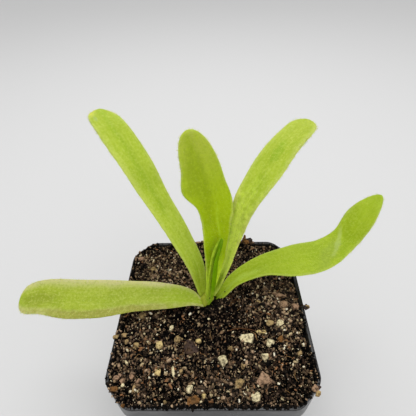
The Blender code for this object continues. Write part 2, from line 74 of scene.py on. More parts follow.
class Graph:
    """The node graph of one finish, with the few steps that these finishes are drawn with."""

    def __init__(self, name: str) -> None:
        """Starts a material whose Principled shader is ready to be fed.

        Args:
            name: The material's name.
        """
        self.material = bpy.data.materials.new(name)
        self.material.use_nodes = True
        self.tree = self.material.node_tree
        self.shader = self.tree.nodes["Principled BSDF"]

    def feed(self, socket: bpy.types.NodeSocket, value: Any) -> None:
        """Links or sets one input.

        Args:
            socket: The input.
            value: Another node's output, a number, a colour or a vector.
        """
        if isinstance(value, bpy.types.NodeSocket):
            self.tree.links.new(value, socket)
        elif socket.type == "RGBA":
            socket.default_value = (*value, 1.0)
        else:
            socket.default_value = value

    def add(self, kind: str, inputs: dict[Any, Any], **settings: Any) -> bpy.types.Node:
        """Adds a node.

        Args:
            kind: The node's type.
            inputs: What its inputs are fed with, by name or number.
            settings: Its own settings.

        Returns:
            The node.
        """
        node = self.tree.nodes.new(kind)
        for name, value in settings.items():
            setattr(node, name, value)
        for key, value in inputs.items():
            self.feed(node.inputs[key], value)
        return node

    def place(self) -> bpy.types.NodeSocket:
        """The point on the object."""
        return self.add("ShaderNodeTexCoord", {}).outputs["Object"]

    def carried(self, name: str) -> bpy.types.NodeSocket:
        """A vector that the mesh's points carry, by its name."""
        return self.add("ShaderNodeAttribute", {}, attribute_name=name).outputs["Vector"]

    def number(self, name: str) -> bpy.types.NodeSocket:
        """A number that the mesh's points carry, by its name."""
        return self.add("ShaderNodeAttribute", {}, attribute_name=name).outputs["Fac"]

    def split(self, vector: bpy.types.NodeSocket) -> tuple[bpy.types.NodeSocket, ...]:
        """A vector's three parts."""
        return tuple(self.add("ShaderNodeSeparateXYZ", {0: vector}).outputs)

    def join(self, x: Any, y: Any, z: Any) -> bpy.types.NodeSocket:
        """A vector from three numbers."""
        return self.add("ShaderNodeCombineXYZ", {0: x, 1: y, 2: z}).outputs[0]

    def math(self, operation: str, first: Any, second: Any = 0.0) -> bpy.types.NodeSocket:
        """The result of one sum."""
        return self.add("ShaderNodeMath", {0: first, 1: second}, operation=operation).outputs[0]

    def sway(self, clouds: Any, reach: float) -> bpy.types.NodeSocket:
        """Clouds from 0 to 1 made a number that sways round 0, by half the reach either way."""
        return self.math("MULTIPLY", self.math("SUBTRACT", clouds, 0.5), reach)

    def window(self, value: Any, low: float, high: float, top: float = 1.0) -> bpy.types.NodeSocket:
        """A smooth step.

        Args:
            value: What is tested.
            low: Where the step starts.
            high: Where the step is full; it may be below low.
            top: The step's full height.

        Returns:
            A number from 0 to top.
        """
        if low <= high:
            ends = {"From Min": low, "From Max": high, "To Min": 0.0, "To Max": top}
        else:
            ends = {"From Min": high, "From Max": low, "To Min": top, "To Max": 0.0}
        step = self.add("ShaderNodeMapRange", {"Value": value, **ends}, interpolation_type="SMOOTHSTEP")
        return step.outputs["Result"]

    def noise(self, place: Any, size: float, detail: float = 2.0,
              rough: float = 0.5) -> bpy.types.NodeSocket:
        """Soft random clouds.

        Args:
            place: Where they are read.
            size: How large one is, in the same unit.
            detail: How many finer layers are added.
            rough: How strong the finer layers are.

        Returns:
            A number from 0 to 1.
        """
        inputs = {"Vector": place, "Scale": 1 / size, "Detail": detail, "Roughness": rough}
        return self.add("ShaderNodeTexNoise", inputs).outputs[0]

    def cells(self, place: Any, size: float) -> bpy.types.NodeSocket:
        """The distance to the nearest of many scattered points, as a share of their spacing."""
        return self.add("ShaderNodeTexVoronoi", {"Vector": place, "Scale": 1 / size}).outputs["Distance"]

    def mix(self, share: Any, first: Any, second: Any, blend: str = "MIX") -> bpy.types.NodeSocket:
        """One colour laid over another.

        Args:
            share: How much of the second shows.
            first: The colour below.
            second: The colour on top.
            blend: How they are mixed.

        Returns:
            The mixed colour.
        """
        # A mix node's inputs share their names, so those for colours go by number.
        node = self.add("ShaderNodeMix", {}, data_type="RGBA", blend_type=blend)
        self.feed(node.inputs[0], share)
        self.feed(node.inputs[6], first)
        self.feed(node.inputs[7], second)
        return node.outputs[2]

    def wash(self, tone: Any, colour: Any, value: Any, low: float, high: float,
             top: float = 1.0) -> bpy.types.NodeSocket:
        """Lays a colour over a tone by the window of a value, its low, its high and its top."""
        return self.mix(self.window(value, low, high, top), tone, colour)

    def run(self, value: Any, stops: Sequence[tuple[float, Colour]]) -> bpy.types.NodeSocket:
        """A run of colours.

        Args:
            value: Where the run is read, from 0 to 1.
            stops: Its places and their colours.

        Returns:
            The colour there.
        """
        node = self.add("ShaderNodeValToRGB", {0: value})
        marks = node.color_ramp.elements
        while len(marks) < len(stops):
            marks.new(1.0)
        for mark, (share, colour) in zip(marks, stops):
            mark.position = share
            mark.color = (*colour, 1.0)
        return node.outputs[0]

    def bump(self, height: Any, rise: float, strength: float = 1.0,
             under: Any = None) -> bpy.types.NodeSocket:
        """A fine relief.

        Args:
            height: Its height, from 0 to 1.
            rise: How high 1 stands, in metres.
            strength: How much of it shows.
            under: A coarser relief that it lies on.

        Returns:
            The bent normal.
        """
        inputs = {"Height": height, "Distance": rise, "Strength": strength}
        if under is not None:
            inputs["Normal"] = under
        return self.add("ShaderNodeBump", inputs).outputs[0]

    def finish(self, **inputs: Any) -> bpy.types.Material:
        """Feeds the shader and hands over the material.

        Args:
            inputs: The shader's inputs, by their names with _ for a space.

        Returns:
            The material.
        """
        for name, value in inputs.items():
            self.feed(self.shader.inputs[name.replace("_", " ")], value)
        return self.material


class Mark(NamedTuple):
    """A patch on a leaf: its middle and size, in mm along and as a share across, its colour and slant. Some
    patches are the leaf's own marks, and some are painted light and painted shade.
    """

    along: float
    across: float
    length: float
    width: float
    colour: Colour
    strength: float
    slant: float = 0.0


@dataclass(frozen=True)
class LeafFinish:
    """A leaf's living surface: mottled flesh with long veins, a darker middle band and paler margins, with
    marks of its own colour and marks of painted light and shade.
    """

    name: str
    body: Colour
    deep: Colour
    light: Colour
    margin: Colour
    margin_from: float = 0.72
    margin_strength: float = 0.5
    band: Colour = screen(132, 168, 26)
    band_middle: float = 0.0
    band_width: float = 0.45
    band_strength: float = 0.3
    tip: Colour = screen(180, 200, 70)
    tip_from: float = 50.0
    tip_length: float = 20.0
    tip_strength: float = 0.0
    marks: tuple[Mark, ...] = ()
    veins: float = 7.0
    vein_length: float = 26.0
    foot_length: float = 14.0
    foot_strength: float = 0.35
    gloss: float = 0.12
    roughness: float = 0.40
    rougher: float = 0.16
    cloud_size: float = 8 * MM
    patch_size: float = 2.4 * MM
    speckle_size: float = 0.8 * MM
    pore_size: float = 0.42 * MM
    mottles: float = 6.0
    mottle_length: float = 1.5
    wander: float = 0.35
    streak_strength: float = 0.22
    mottle_strength: float = 0.34
    speckle_strength: float = 0.42
    flesh_relief: float = 0.16 * MM
    pore_relief: float = 0.05 * MM

    def material(self) -> bpy.types.Material:
        """Draws the finish on the leaf's own measures, which its points carry.

        Returns:
            The material.
        """
        graph = Graph(self.name)
        place = graph.place()
        across, along, side = graph.split(graph.carried("blade"))
        measures = (across, along, side)
        clouds = graph.noise(place, self.cloud_size, 3)
        patches = graph.noise(place, self.patch_size, 3)
        speckle = graph.noise(place, self.speckle_size, 3, 0.7)
        streaks = graph.noise(self.stretched(graph, measures, self.veins, self.vein_length), 1.0, 3, 0.6)
        mottle = graph.noise(self.stretched(graph, measures, self.mottles, self.mottle_length), 1.0, 4, 0.75)
        wander = graph.sway(clouds, self.wander)
        ragged = graph.math("ADD", graph.math("ABSOLUTE", across), wander)
        swayed = graph.math("ADD", across, wander)
        off_band = graph.math("ABSOLUTE", graph.math("SUBTRACT", swayed, self.band_middle))

        tone = self.body
        for wash in (
            (self.deep, clouds, 0.40, 0.66, 0.6),
            (self.tip, along, self.tip_from, self.tip_from + self.tip_length, self.tip_strength),
            (self.band, off_band, self.band_width, 0.0, self.band_strength),
            (self.margin, ragged, self.margin_from, 1.0, self.margin_strength),
        ):
            tone = graph.wash(tone, *wash)
        # The leaf's own marks, and patches of painted light and painted shade.
        for mark in self.marks:
            share = graph.math("MULTIPLY", self.patch(graph, mark, across, along, patches), mark.strength)
            tone = graph.mix(share, tone, mark.colour)
        for wash in (
            (self.deep, streaks, 0.50, 0.70, self.streak_strength),
            (self.light, streaks, 0.50, 0.32, self.streak_strength),
            (self.light, mottle, 0.52, 0.66, self.mottle_strength),
            (self.deep, mottle, 0.48, 0.34, self.mottle_strength),
            (self.deep, along, self.foot_length, 0.0, self.foot_strength),
            (self.light, speckle, 0.50, 0.64, self.speckle_strength),
            (self.deep, speckle, 0.50, 0.36, self.speckle_strength),
        ):
            tone = graph.wash(tone, *wash)

        flesh = graph.bump(graph.math("ADD", streaks, mottle), self.flesh_relief, 0.5)
        return graph.finish(
            Base_Color=tone,
            Roughness=graph.math("ADD", graph.window(speckle, 0.2, 0.8, self.rougher), self.roughness),
            Specular_IOR_Level=self.gloss,
            Subsurface_Weight=0.3,
            Subsurface_Radius=(1.0, 1.2, 0.25),
            Subsurface_Scale=0.8 * MM,
            Normal=graph.bump(graph.cells(place, self.pore_size), self.pore_relief, 0.5, flesh),
        )

    @staticmethod
    def stretched(graph: Graph, measures: Sequence[Any], often: float, long: float) -> bpy.types.NodeSocket:
        """The place to read long clouds at: so many across the leaf, and each so many millimetres long."""
        across, along, side = measures
        return graph.join(graph.math("MULTIPLY", across, often), graph.math("DIVIDE", along, long), side)

    @staticmethod
    def patch(graph: Graph, mark: Mark, across: Any, along: Any, patches: Any) -> bpy.types.NodeSocket:
        """How much a mark shows: 1 in its middle, 0 past its ragged edge.

        Args:
            graph: The finish's graph.
            mark: The mark.
            across: Where the point is across the leaf.
            along: Where it is along it.
            patches: The clouds that make the edge ragged.

        Returns:
            The share.
        """
        line = graph.math("ADD", mark.along, graph.math("MULTIPLY", across, mark.slant))
        off_along = graph.math("DIVIDE", graph.math("SUBTRACT", along, line), mark.length)
        off_across = graph.math("DIVIDE", graph.math("SUBTRACT", across, mark.across), mark.width)
        squares = [graph.math("MULTIPLY", part, part) for part in (off_along, off_across)]
        distance = graph.math("SQRT", graph.math("ADD", *squares))
        ragged = graph.math("ADD", distance, graph.sway(patches, 1.0))
        return graph.window(ragged, 1.0, 0.35)


@dataclass(frozen=True)
class GlandFinish:
    """The sticky hairs: clear pale stalks with a wet bead."""

    name: str = "gland_hairs"
    green: Colour = screen(196, 208, 104)
    pale: Colour = screen(220, 226, 160)

    def material(self) -> bpy.types.Material:
        """A wet, pale finish that varies a little from hair to hair.

        Returns:
            The material.
        """
        graph = Graph(self.name)
        tone = graph.mix(graph.number("tint"), self.green, self.pale)
        return graph.finish(Base_Color=tone, Roughness=0.22, Subsurface_Weight=0.3,
                            Subsurface_Scale=0.2 * MM)


@dataclass(frozen=True)
class GrainFinish:
    """Loose matter: each grain takes its colour from a run by its tint, and is rough all over."""

    name: str
    colours: tuple[tuple[float, Colour], ...]
    roughness: float = 0.9
    pit: float = 0.25 * MM
    depth: float = 0.10 * MM
    stain_and_shade: Colour = screen(70, 50, 34)
    stain_strength: float = 0.35
    contrast: float = 0.55
    gloss: float = 0.05
    painted_side_shade: float = 0.0
    pit_shades: tuple[tuple[float, Colour], ...] = ((0.0, (0.25, 0.25, 0.25)), (0.55, (1.0, 1.0, 1.0)))

    def material(self) -> bpy.types.Material:
        """Draws the run, its stains, its pits with painted shade, and painted shade on faces that turn down.

        Returns:
            The material.
        """
        graph = Graph(self.name)
        place = graph.place()
        pits = graph.noise(place, self.pit, 3, 0.65)
        stains = graph.noise(place, 3 * self.pit, 2, 0.6)
        tone = graph.run(graph.number("tint"), self.colours)
        tone = graph.wash(tone, self.stain_and_shade, stains, 0.50, 0.70, self.stain_strength)
        # Painted shade: faces that turn sideways and down take the stain colour, by the top number that each
        # point carries.
        if self.painted_side_shade:
            tone = graph.wash(tone, self.stain_and_shade, graph.number("top"), 0.9, -0.3, self.painted_side_shade)
        # Painted shade: the grain is darker in the low places of its pit relief.
        shade = graph.run(graph.window(pits, 0.30, 0.70), self.pit_shades)
        tone = graph.mix(self.contrast, tone, shade, "MULTIPLY")
        return graph.finish(Base_Color=tone, Roughness=self.roughness, Specular_IOR_Level=self.gloss,
                            Normal=graph.bump(pits, self.depth, 0.8))


@dataclass(frozen=True)
class PeatFinish:
    """The soil's own dark surface between the grains."""

    name: str = "peat"
    wet: Colour = screen(5, 4, 4)
    dry: Colour = screen(34, 27, 22)
    crumb_size: float = 1.1 * MM
    relief: float = 0.5 * MM

    def material(self) -> bpy.types.Material:
        """Dark fibrous peat, paler on its high crumbs.

        Returns:
            The material.
        """
        graph = Graph(self.name)
        crumbs = graph.noise(graph.place(), self.crumb_size, 5, 0.7)
        tone = graph.wash(self.wet, self.dry, crumbs, 0.50, 0.72)
        return graph.finish(Base_Color=tone, Roughness=0.95, Specular_IOR_Level=0.04,
                            Normal=graph.bump(crumbs, self.relief, 0.9))


@dataclass(frozen=True)
class PlasticFinish:
    """The pot's moulded black plastic: satin, with scuffs, dried water and dust under the lip."""

    name: str = "pot_plastic"
    black: Colour = screen(18, 17, 16)
    dust: Colour = screen(120, 112, 98)
    scuff: Colour = screen(86, 86, 88)
    rim_height: float = 60 * MM
    lip_height: float = 1.2 * MM
    lip_fade: float = 0.7 * MM
    dust_depth: float = 9 * MM
    cloud_size: float = 9 * MM
    spot_size: float = 1.3 * MM
    scratch_width: float = 0.6 * MM
    scratch_length: float = 14 * MM
    grain_size: float = 0.35 * MM
    grain_relief: float = 0.02 * MM
    wave_size: float = 8 * MM
    wave_relief: float = 0.25 * MM

    def material(self) -> bpy.types.Material:
        """Draws the plastic with its wear.

        Returns:
            The material.
        """
        graph = Graph(self.name)
        place = graph.place()
        x, y, z = graph.split(place)
        clouds = graph.noise(place, self.cloud_size, 4, 0.6)
        widths = [graph.math("DIVIDE", part, self.scratch_width) for part in (x, y)]
        drawn = graph.join(*widths, graph.math("DIVIDE", z, self.scratch_length))
        scratches = graph.noise(drawn, 1.0, 2, 0.5)
        spots = graph.noise(place, self.spot_size, 3, 0.7)
        upper = graph.window(z, self.rim_height - self.dust_depth, self.rim_height)
        lip = self.rim_height - self.lip_height
        under_lip = graph.window(z, lip + self.lip_fade, lip)
        near_lip = graph.math("MULTIPLY", upper, under_lip)
        dusty = graph.math("MULTIPLY", near_lip, graph.window(spots, 0.52, 0.72))
        tone = graph.wash(self.black, self.scuff, scratches, 0.66, 0.78, 0.25)
        tone = graph.mix(graph.math("MULTIPLY", dusty, 0.35), tone, self.dust)
        tone = graph.wash(tone, self.dust, clouds, 0.58, 0.80, 0.10)
        rough = graph.math("ADD", graph.window(clouds, 0.3, 0.7, 0.10), 0.26)
        grain = graph.bump(graph.noise(place, self.grain_size, 2), self.grain_relief, 0.5)
        waves = graph.bump(graph.noise(place, self.wave_size, 1), self.wave_relief, 0.4, grain)
        return graph.finish(Base_Color=tone, Specular_IOR_Level=0.34, Normal=waves,
                            Roughness=graph.math("ADD", rough, graph.math("MULTIPLY", dusty, 0.3)))


@dataclass(frozen=True)
class CrownFinish:
    """The crown: pale green where it is above the soil, brown and scaly below."""

    name: str = "crown_skin"
    green: Colour = screen(140, 150, 42)
    brown: Colour = screen(84, 72, 38)
    brown_to: float = 59.2 * MM
    green_from: float = 61.2 * MM
    cloud_size: float = 1.2 * MM
    raggedness: float = 3 * MM
    relief: float = 0.3 * MM

    def material(self) -> bpy.types.Material:
        """Draws the skin with its old leaf scars.

        Returns:
            The material.
        """
        graph = Graph(self.name)
        place = graph.place()
        clouds = graph.noise(place, self.cloud_size, 3)
        ragged = graph.math("ADD", graph.split(place)[2], graph.sway(clouds, self.raggedness))
        tone = graph.wash(self.green, self.brown, ragged, self.green_from, self.brown_to)
        return graph.finish(Base_Color=tone, Roughness=0.55, Specular_IOR_Level=0.1,
                            Normal=graph.bump(clouds, self.relief, 0.7))


@dataclass(frozen=True)
class PaperFinish:
    """The studio's pale sheet."""

    name: str = "pale_sheet"
    colour: Colour = screen(197, 197, 197)
    shade: Colour = (0.5, 0.5, 0.5)
    tooth_size: float = 1.5 * MM

    def material(self) -> bpy.types.Material:
        """A plain matt sheet with a trace of tooth.

        Returns:
            The material.
        """
        graph = Graph(self.name)
        tooth = graph.noise(graph.place(), self.tooth_size, 2)
        tone = graph.wash(self.colour, self.shade, tooth, 0.3, 0.7, 0.02)
        return graph.finish(Base_Color=tone, Roughness=0.85)


def mesh_of(bm: bmesh.types.BMesh, name: str) -> bpy.types.Mesh:
    """Turns a bmesh into a mesh.

    Args:
        bm: The shape, which is used up.
        name: The mesh's name.

    Returns:
        The mesh.
    """
    mesh = bpy.data.meshes.new(name)
    bm.to_mesh(mesh)
    bm.free()
    return mesh


def add_object(name: str, data: bpy.types.ID) -> bpy.types.Object:
    """Adds an object to the scene.

    Args:
        name: Its name.
        data: Its mesh, lamp or camera.

    Returns:
        The object.
    """
    added = bpy.data.objects.new(name, data)
    bpy.context.scene.collection.objects.link(added)
    return added


def add_piece(bm: bmesh.types.BMesh, name: str, material: bpy.types.Material, slot: str,
              smooth: bool = True) -> bpy.types.Object:
    """Turns a bmesh into a finished piece that rides on the pot.

    Args:
        bm: The shape, which is used up.
        name: The piece's name.
        material: Its finish.
        slot: The record's material slot, which is not used.
        smooth: Whether it is shaded smooth.

    Returns:
        The piece.
    """
    mesh = mesh_of(bm, name)
    mesh.materials.append(material)
    if smooth:
        mesh.shade_smooth()
    else:
        mesh.shade_flat()
    piece = add_object(name, mesh)
    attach(piece, "root")
    LOG.info("%s: %d faces", name, len(mesh.polygons))
    return piece


def carry(piece: bpy.types.Object, name: str, values: Sequence[float]) -> None:
    """Gives each point of a piece its number, under the name that the finish reads."""
    piece.data.attributes.new(name, "FLOAT", "POINT").data.foreach_set("value", values)


def close(bm: bmesh.types.BMesh) -> None:
    """Merges a shape's seam, fills its open ends and turns its faces outwards.

    Args:
        bm: The shape.
    """
    bmesh.ops.remove_doubles(bm, verts=bm.verts, dist=MERGE)
    bmesh.ops.holes_fill(bm, edges=[edge for edge in bm.edges if edge.is_boundary], sides=0)
    bmesh.ops.recalc_face_normals(bm, faces=bm.faces)


def loft(around: int, along: int, place: Callable[[float, float], Vector]) -> bmesh.types.BMesh:
    """Rolls a grid into a closed tube: its seam is merged, and its ends are closed.

    Args:
        around: How many faces lie round the tube.
        along: How many lie along it.
        place: Gives the point for a share of the turn and a share of the length.

    Returns:
        The tube.
    """
    bm = bmesh.new()
    bmesh.ops.create_grid(bm, x_segments=around, y_segments=along, size=0.5)
    for vertex in bm.verts:
        vertex.co = place(vertex.co.x + 0.5, vertex.co.y + 0.5)
    close(bm)
    return bm


def rows_of(parts: Sequence[Any], key: str, kind: type = float) -> np.ndarray:
    """Reads three values from each part of a mesh.

    Args:
        parts: The parts, such as its vertices.
        key: The name of the values.
        kind: The values' type.

    Returns:
        A row for each part.
    """
    rows = np.empty(len(parts) * 3, dtype=kind)
    parts.foreach_get(key, rows)
    return rows.reshape(-1, 3)


def stamp(name: str, shapes: Sequence[bpy.types.Mesh], kinds: np.ndarray, turns: np.ndarray,
          seats: np.ndarray, tints: np.ndarray, material: bpy.types.Material, slot: str,
          smooth: bool = False, lit: float = 0.0) -> bpy.types.Object:
    """Sets many small shapes out as one piece.

    Args:
        name: The piece's name.
        shapes: The small shapes, which all have as many points.
        kinds: Which shape each one is.
        turns: Each one's turn and size, as a 3 by 3 matrix.
        seats: Each one's place.
        tints: The number that each one's points carry for its colour.
        material: The finish.
        slot: The record's material slot.
        smooth: Whether they are shaded smooth.
        lit: How much the number rises from a shape's middle to its top, as painted light, and falls to its
            foot, as painted shade.

    Returns:
        The piece.
    """
    bases = np.array([rows_of(shape.vertices, "co") for shape in shapes])
    points = np.einsum("nij,nvj->nvi", turns, bases[kinds])
    # Painted light and shade: each point's number rises with its height in its shape, so tops are paler and
    # feet darker.
    tops = points[:, :, 2] / np.abs(points[:, :, 2]).max(axis=1)[:, None]
    tints = np.clip(tints[:, None] + lit * tops, 0, 1)
    points += seats[:, None, :]
    bm = bmesh.new()
    for kind in kinds:
        bm.from_mesh(shapes[kind])
    piece = add_piece(bm, name, material, slot, smooth)
    piece.data.vertices.foreach_set("co", points.ravel())
    carry(piece, "tint", tints.ravel())
    piece.data.update()
    return piece


def skewed(draw: np.random.Generator, count: int, low: Any, spread: Any, power: Any) -> np.ndarray:
    """Random numbers that crowd at one end of their range.

    Args:
        draw: The source of chance.
        count: How many.
        low: The lowest number.
        spread: How far above it the highest is.
        power: How closely they crowd: above 1 at the low end, below 1 at the high end, and 1 is even.

    Returns:
        The numbers.
    """
    return low + spread * draw.uniform(0, 1, count) ** power


def random_turns(draw: np.random.Generator, sizes: np.ndarray) -> np.ndarray:
    """Random turns of shapes of given sizes.

    Args:
        draw: The source of chance.
        sizes: Each shape's three sizes, as rows.

    Returns:
        A 3 by 3 matrix for each row.
    """
    angles = draw.uniform(0, math.tau, (len(sizes), 3))
    turns = np.array([Euler(angle).to_matrix() for angle in angles])
    return turns * sizes[:, None, :]


def tumbled(draw: np.random.Generator, shapes: Sequence[bpy.types.Mesh], size: np.ndarray,
            longer: tuple[float, float]) -> tuple[np.ndarray, np.ndarray]:
    """Gives grains random shapes and turns, each a little flat and longer one way.

    Args:
        draw: The source of chance.
        shapes: The shapes.
        size: Each grain's width.
        longer: The least and the most that a grain is longer than wide.

    Returns:
        Which shape each grain is, and its turn and size.
    """
    sizes = np.column_stack((size * draw.uniform(*longer, len(size)), size, size * 0.8))
    kinds = draw.integers(0, len(shapes), len(size))
    return kinds, random_turns(draw, sizes)


def along_normals(draw: np.random.Generator, normals: np.ndarray, sizes: np.ndarray,
                  lean: float) -> np.ndarray:
    """Turns that stand shapes up along normals, each with a small lean.

    Args:
        draw: The source of chance.
        normals: The directions, as rows.
        sizes: Each shape's size.
        lean: How far they lean, as a share of their height.

    Returns:
        A 3 by 3 matrix for each row.
    """
    up = normals + draw.normal(0, lean, normals.shape)
    up /= np.linalg.norm(up, axis=1)[:, None]
    first = np.cross(up, draw.normal(0, 1, up.shape))
    first /= np.linalg.norm(first, axis=1)[:, None]
    return np.stack((first, np.cross(up, first), up), axis=2) * sizes[:, None, None]


def cut_square(side: float, cut: float, bend: float, steps: int, between: int) -> list[Vector]:
    """A square with its corners cut off and its eight bends rounded.

    Args:
        side: The square's width.
        cut: How much of each side a corner's cut takes.
        bend: How far from a bend its rounding starts.
        steps: How many pieces a rounding has.
        between: How many points lie on each straight side.

    Returns:
        The outline, anticlockwise.
    """
    half = side / 2
    bends = []
    for quarter in range(4):
        turn = Matrix.Rotation(quarter * math.pi / 2, 2)
        bends += [turn @ Vector((half, half - cut)), turn @ Vector((half - cut, half))]
    arcs = []
    for before, here, after in zip(bends[-1:] + bends, bends, bends[1:] + bends[:1]):
        start = here + (before - here).normalized() * bend
        end = here + (after - here).normalized() * bend
        shares = [i / steps for i in range(steps + 1)]
        arcs.append([start.lerp(here, t).lerp(here.lerp(end, t), t) for t in shares])
    points = []
    for number, (arc, following) in enumerate(zip(arcs, arcs[1:] + arcs[:1])):
        points += arc
        if number % 2:
            points += [arc[-1].lerp(following[0], (i + 1) / (between + 1)) for i in range(between)]
    return points


@dataclass
class NurseryPot:
    """The pot: a tapering square with a thin wall, a rolled lip and four drain holes.

    Its corners are cut flat. The cuts are widest at the lip, narrow as the pot tapers, and keep one width
    lower down.
    """

    top: float = 64 * MM
    base: float = 46 * MM
    height: float = 60 * MM
    wall: float = 0.8 * MM
    floor: float = 1.2 * MM
    lip_width: float = 0.4 * MM
    lip_height: float = 1.6 * MM
    lip_bend: float = 0.2 * MM
    foot_bend: float = 0.5 * MM
    floor_margin: float = 4.8 * MM
    corner_reach: float = 56.6 * MM
    corner_low: float = 3.4 * MM
    corner_bend: float = 2.4 * MM
    bend_share: float = 0.6
    bend_steps: int = 10
    side_points: int = 15
    drain_radius: float = 4 * MM
    drain_place: float = 13 * MM
    cut_loss: float = 2 - math.sqrt(2)

    def side(self, height: float) -> float:
        """The pot's outer width under the lip, at a height."""
        return self.base + (self.top - 2 * self.lip_width - self.base) * height / self.height

    def ring(self, height: float, outwards: float) -> list[Vector]:
        """The pot's outline at a height.

        Args:
            height: The height.
            outwards: How far it stands out from the wall's outer face, or in, if it is negative.

        Returns:
            The outline's points.
        """
        outer = self.side(height) + 2 * max(outwards, 0)
        cut = max(self.corner_low, outer - self.corner_reach) + self.cut_loss * min(outwards, 0)
        bend = min(self.corner_bend, self.bend_share * cut)
        points = cut_square(self.side(height) + 2 * outwards, cut, bend, self.bend_steps, self.side_points)
        return [Vector((point.x, point.y, height)) for point in points]

    def section(self) -> list[tuple[float, float]]:
        """The wall's section, from under the floor, up outside, over the lip and down inside.

        Returns:
            Its points: their height, and how far out from the wall's outer face they are.
        """
        rows = [(0.0, -self.floor_margin), (0.0, -self.foot_bend)]
        for step in range(1, 6):
            angle = step * math.pi / 10
            rows.append((self.foot_bend * (1 - math.cos(angle)), -self.foot_bend * (1 - math.sin(angle))))
        rows += [(self.height * (0.1 + 0.14 * i), 0.0) for i in range(6)]
        under = self.height - self.lip_height
        rows += [(under - 0.5 * MM, 0.0), (under - 0.15 * MM, 0.05 * MM), (under, 0.18 * MM)]
        bend = self.lip_bend
        for middle, start in ((under + bend, -90), (self.height - bend, 0)):
            for step in range(5):
                angle = math.radians(start + 22.5 * step)
                rows.append((middle + bend * math.sin(angle), self.lip_width - bend * (1 - math.cos(angle))))
        rows += [(self.height - 0.02 * MM, -0.1 * MM), (self.height, -0.3 * MM)]
        rows += [(self.height - 0.03 * MM, -0.6 * MM)]
        inner = -self.wall
        rows += [(self.height - 0.2 * MM, inner + 0.04 * MM), (self.height - 0.5 * MM, inner)]
        rows += [(self.height * (0.85 - 0.16 * i), inner) for i in range(5)]
        rows += [(self.floor + 0.6 * MM, inner), (self.floor + 0.1 * MM, inner - 0.2 * MM)]
        rows += [(self.floor, inner - 0.8 * MM), (self.floor, -self.floor_margin)]
        return rows

    def build(self, finish: PlasticFinish) -> bpy.types.Object:
        """Makes the pot.

        Args:
            finish: Its plastic.

        Returns:
            The pot.
        """
        rings = [self.ring(height, outwards) for height, outwards in self.section()]
        around = len(rings[0])
        last = len(rings) - 1

        def place(turn: float, share: float) -> Vector:
            """A point of the section's rings."""
            return rings[round(share * last)][round(turn * around) % around]

        pot = add_piece(loft(around, last, place), "pot_moulding", finish.material(), "pot")
        self.drill(pot)
        pot.data.set_sharp_from_angle(angle=math.radians(50))
        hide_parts("pot")
        return pot

    def drill(self, pot: bpy.types.Object) -> None:
        """Cuts the four drain holes through the floor.

        Args:
            pot: The pot, still without holes.
        """
        bm = bmesh.new()
        for x in (-self.drain_place, self.drain_place):
            for y in (-self.drain_place, self.drain_place):
                bmesh.ops.create_cone(bm, cap_ends=True, segments=40, radius1=self.drain_radius,
                                      radius2=self.drain_radius, depth=4 * self.floor,
                                      matrix=Matrix.Translation((x, y, self.floor / 2)))
        cutter = add_object("drains", mesh_of(bm, "drains"))
        cut = pot.modifiers.new("Drains", "BOOLEAN")
        cut.operation = "DIFFERENCE"
        cut.object = cutter
        bpy.context.view_layer.update()
        shown = pot.evaluated_get(bpy.context.evaluated_depsgraph_get())
        drilled = bpy.data.meshes.new_from_object(shown)
        pot.modifiers.clear()
        pot.data = drilled
        bpy.data.objects.remove(cutter)


class Grain(Enum):
    """What a large grain on the soil is, with its place in the large grains' run of colours."""

    CREAM = 0.95
    YELLOW = 0.80
    TAN = 0.62
    PINK = 0.45
    BROWN = 0.28
    DARK = 0.05


class Chip(NamedTuple):
    """A grain or chip that lies at a known place: its place, its three sizes, its turn and its kind."""

    x: float
    y: float
    length: float
    width: float
    height: float
    turn: float
    kind: Grain


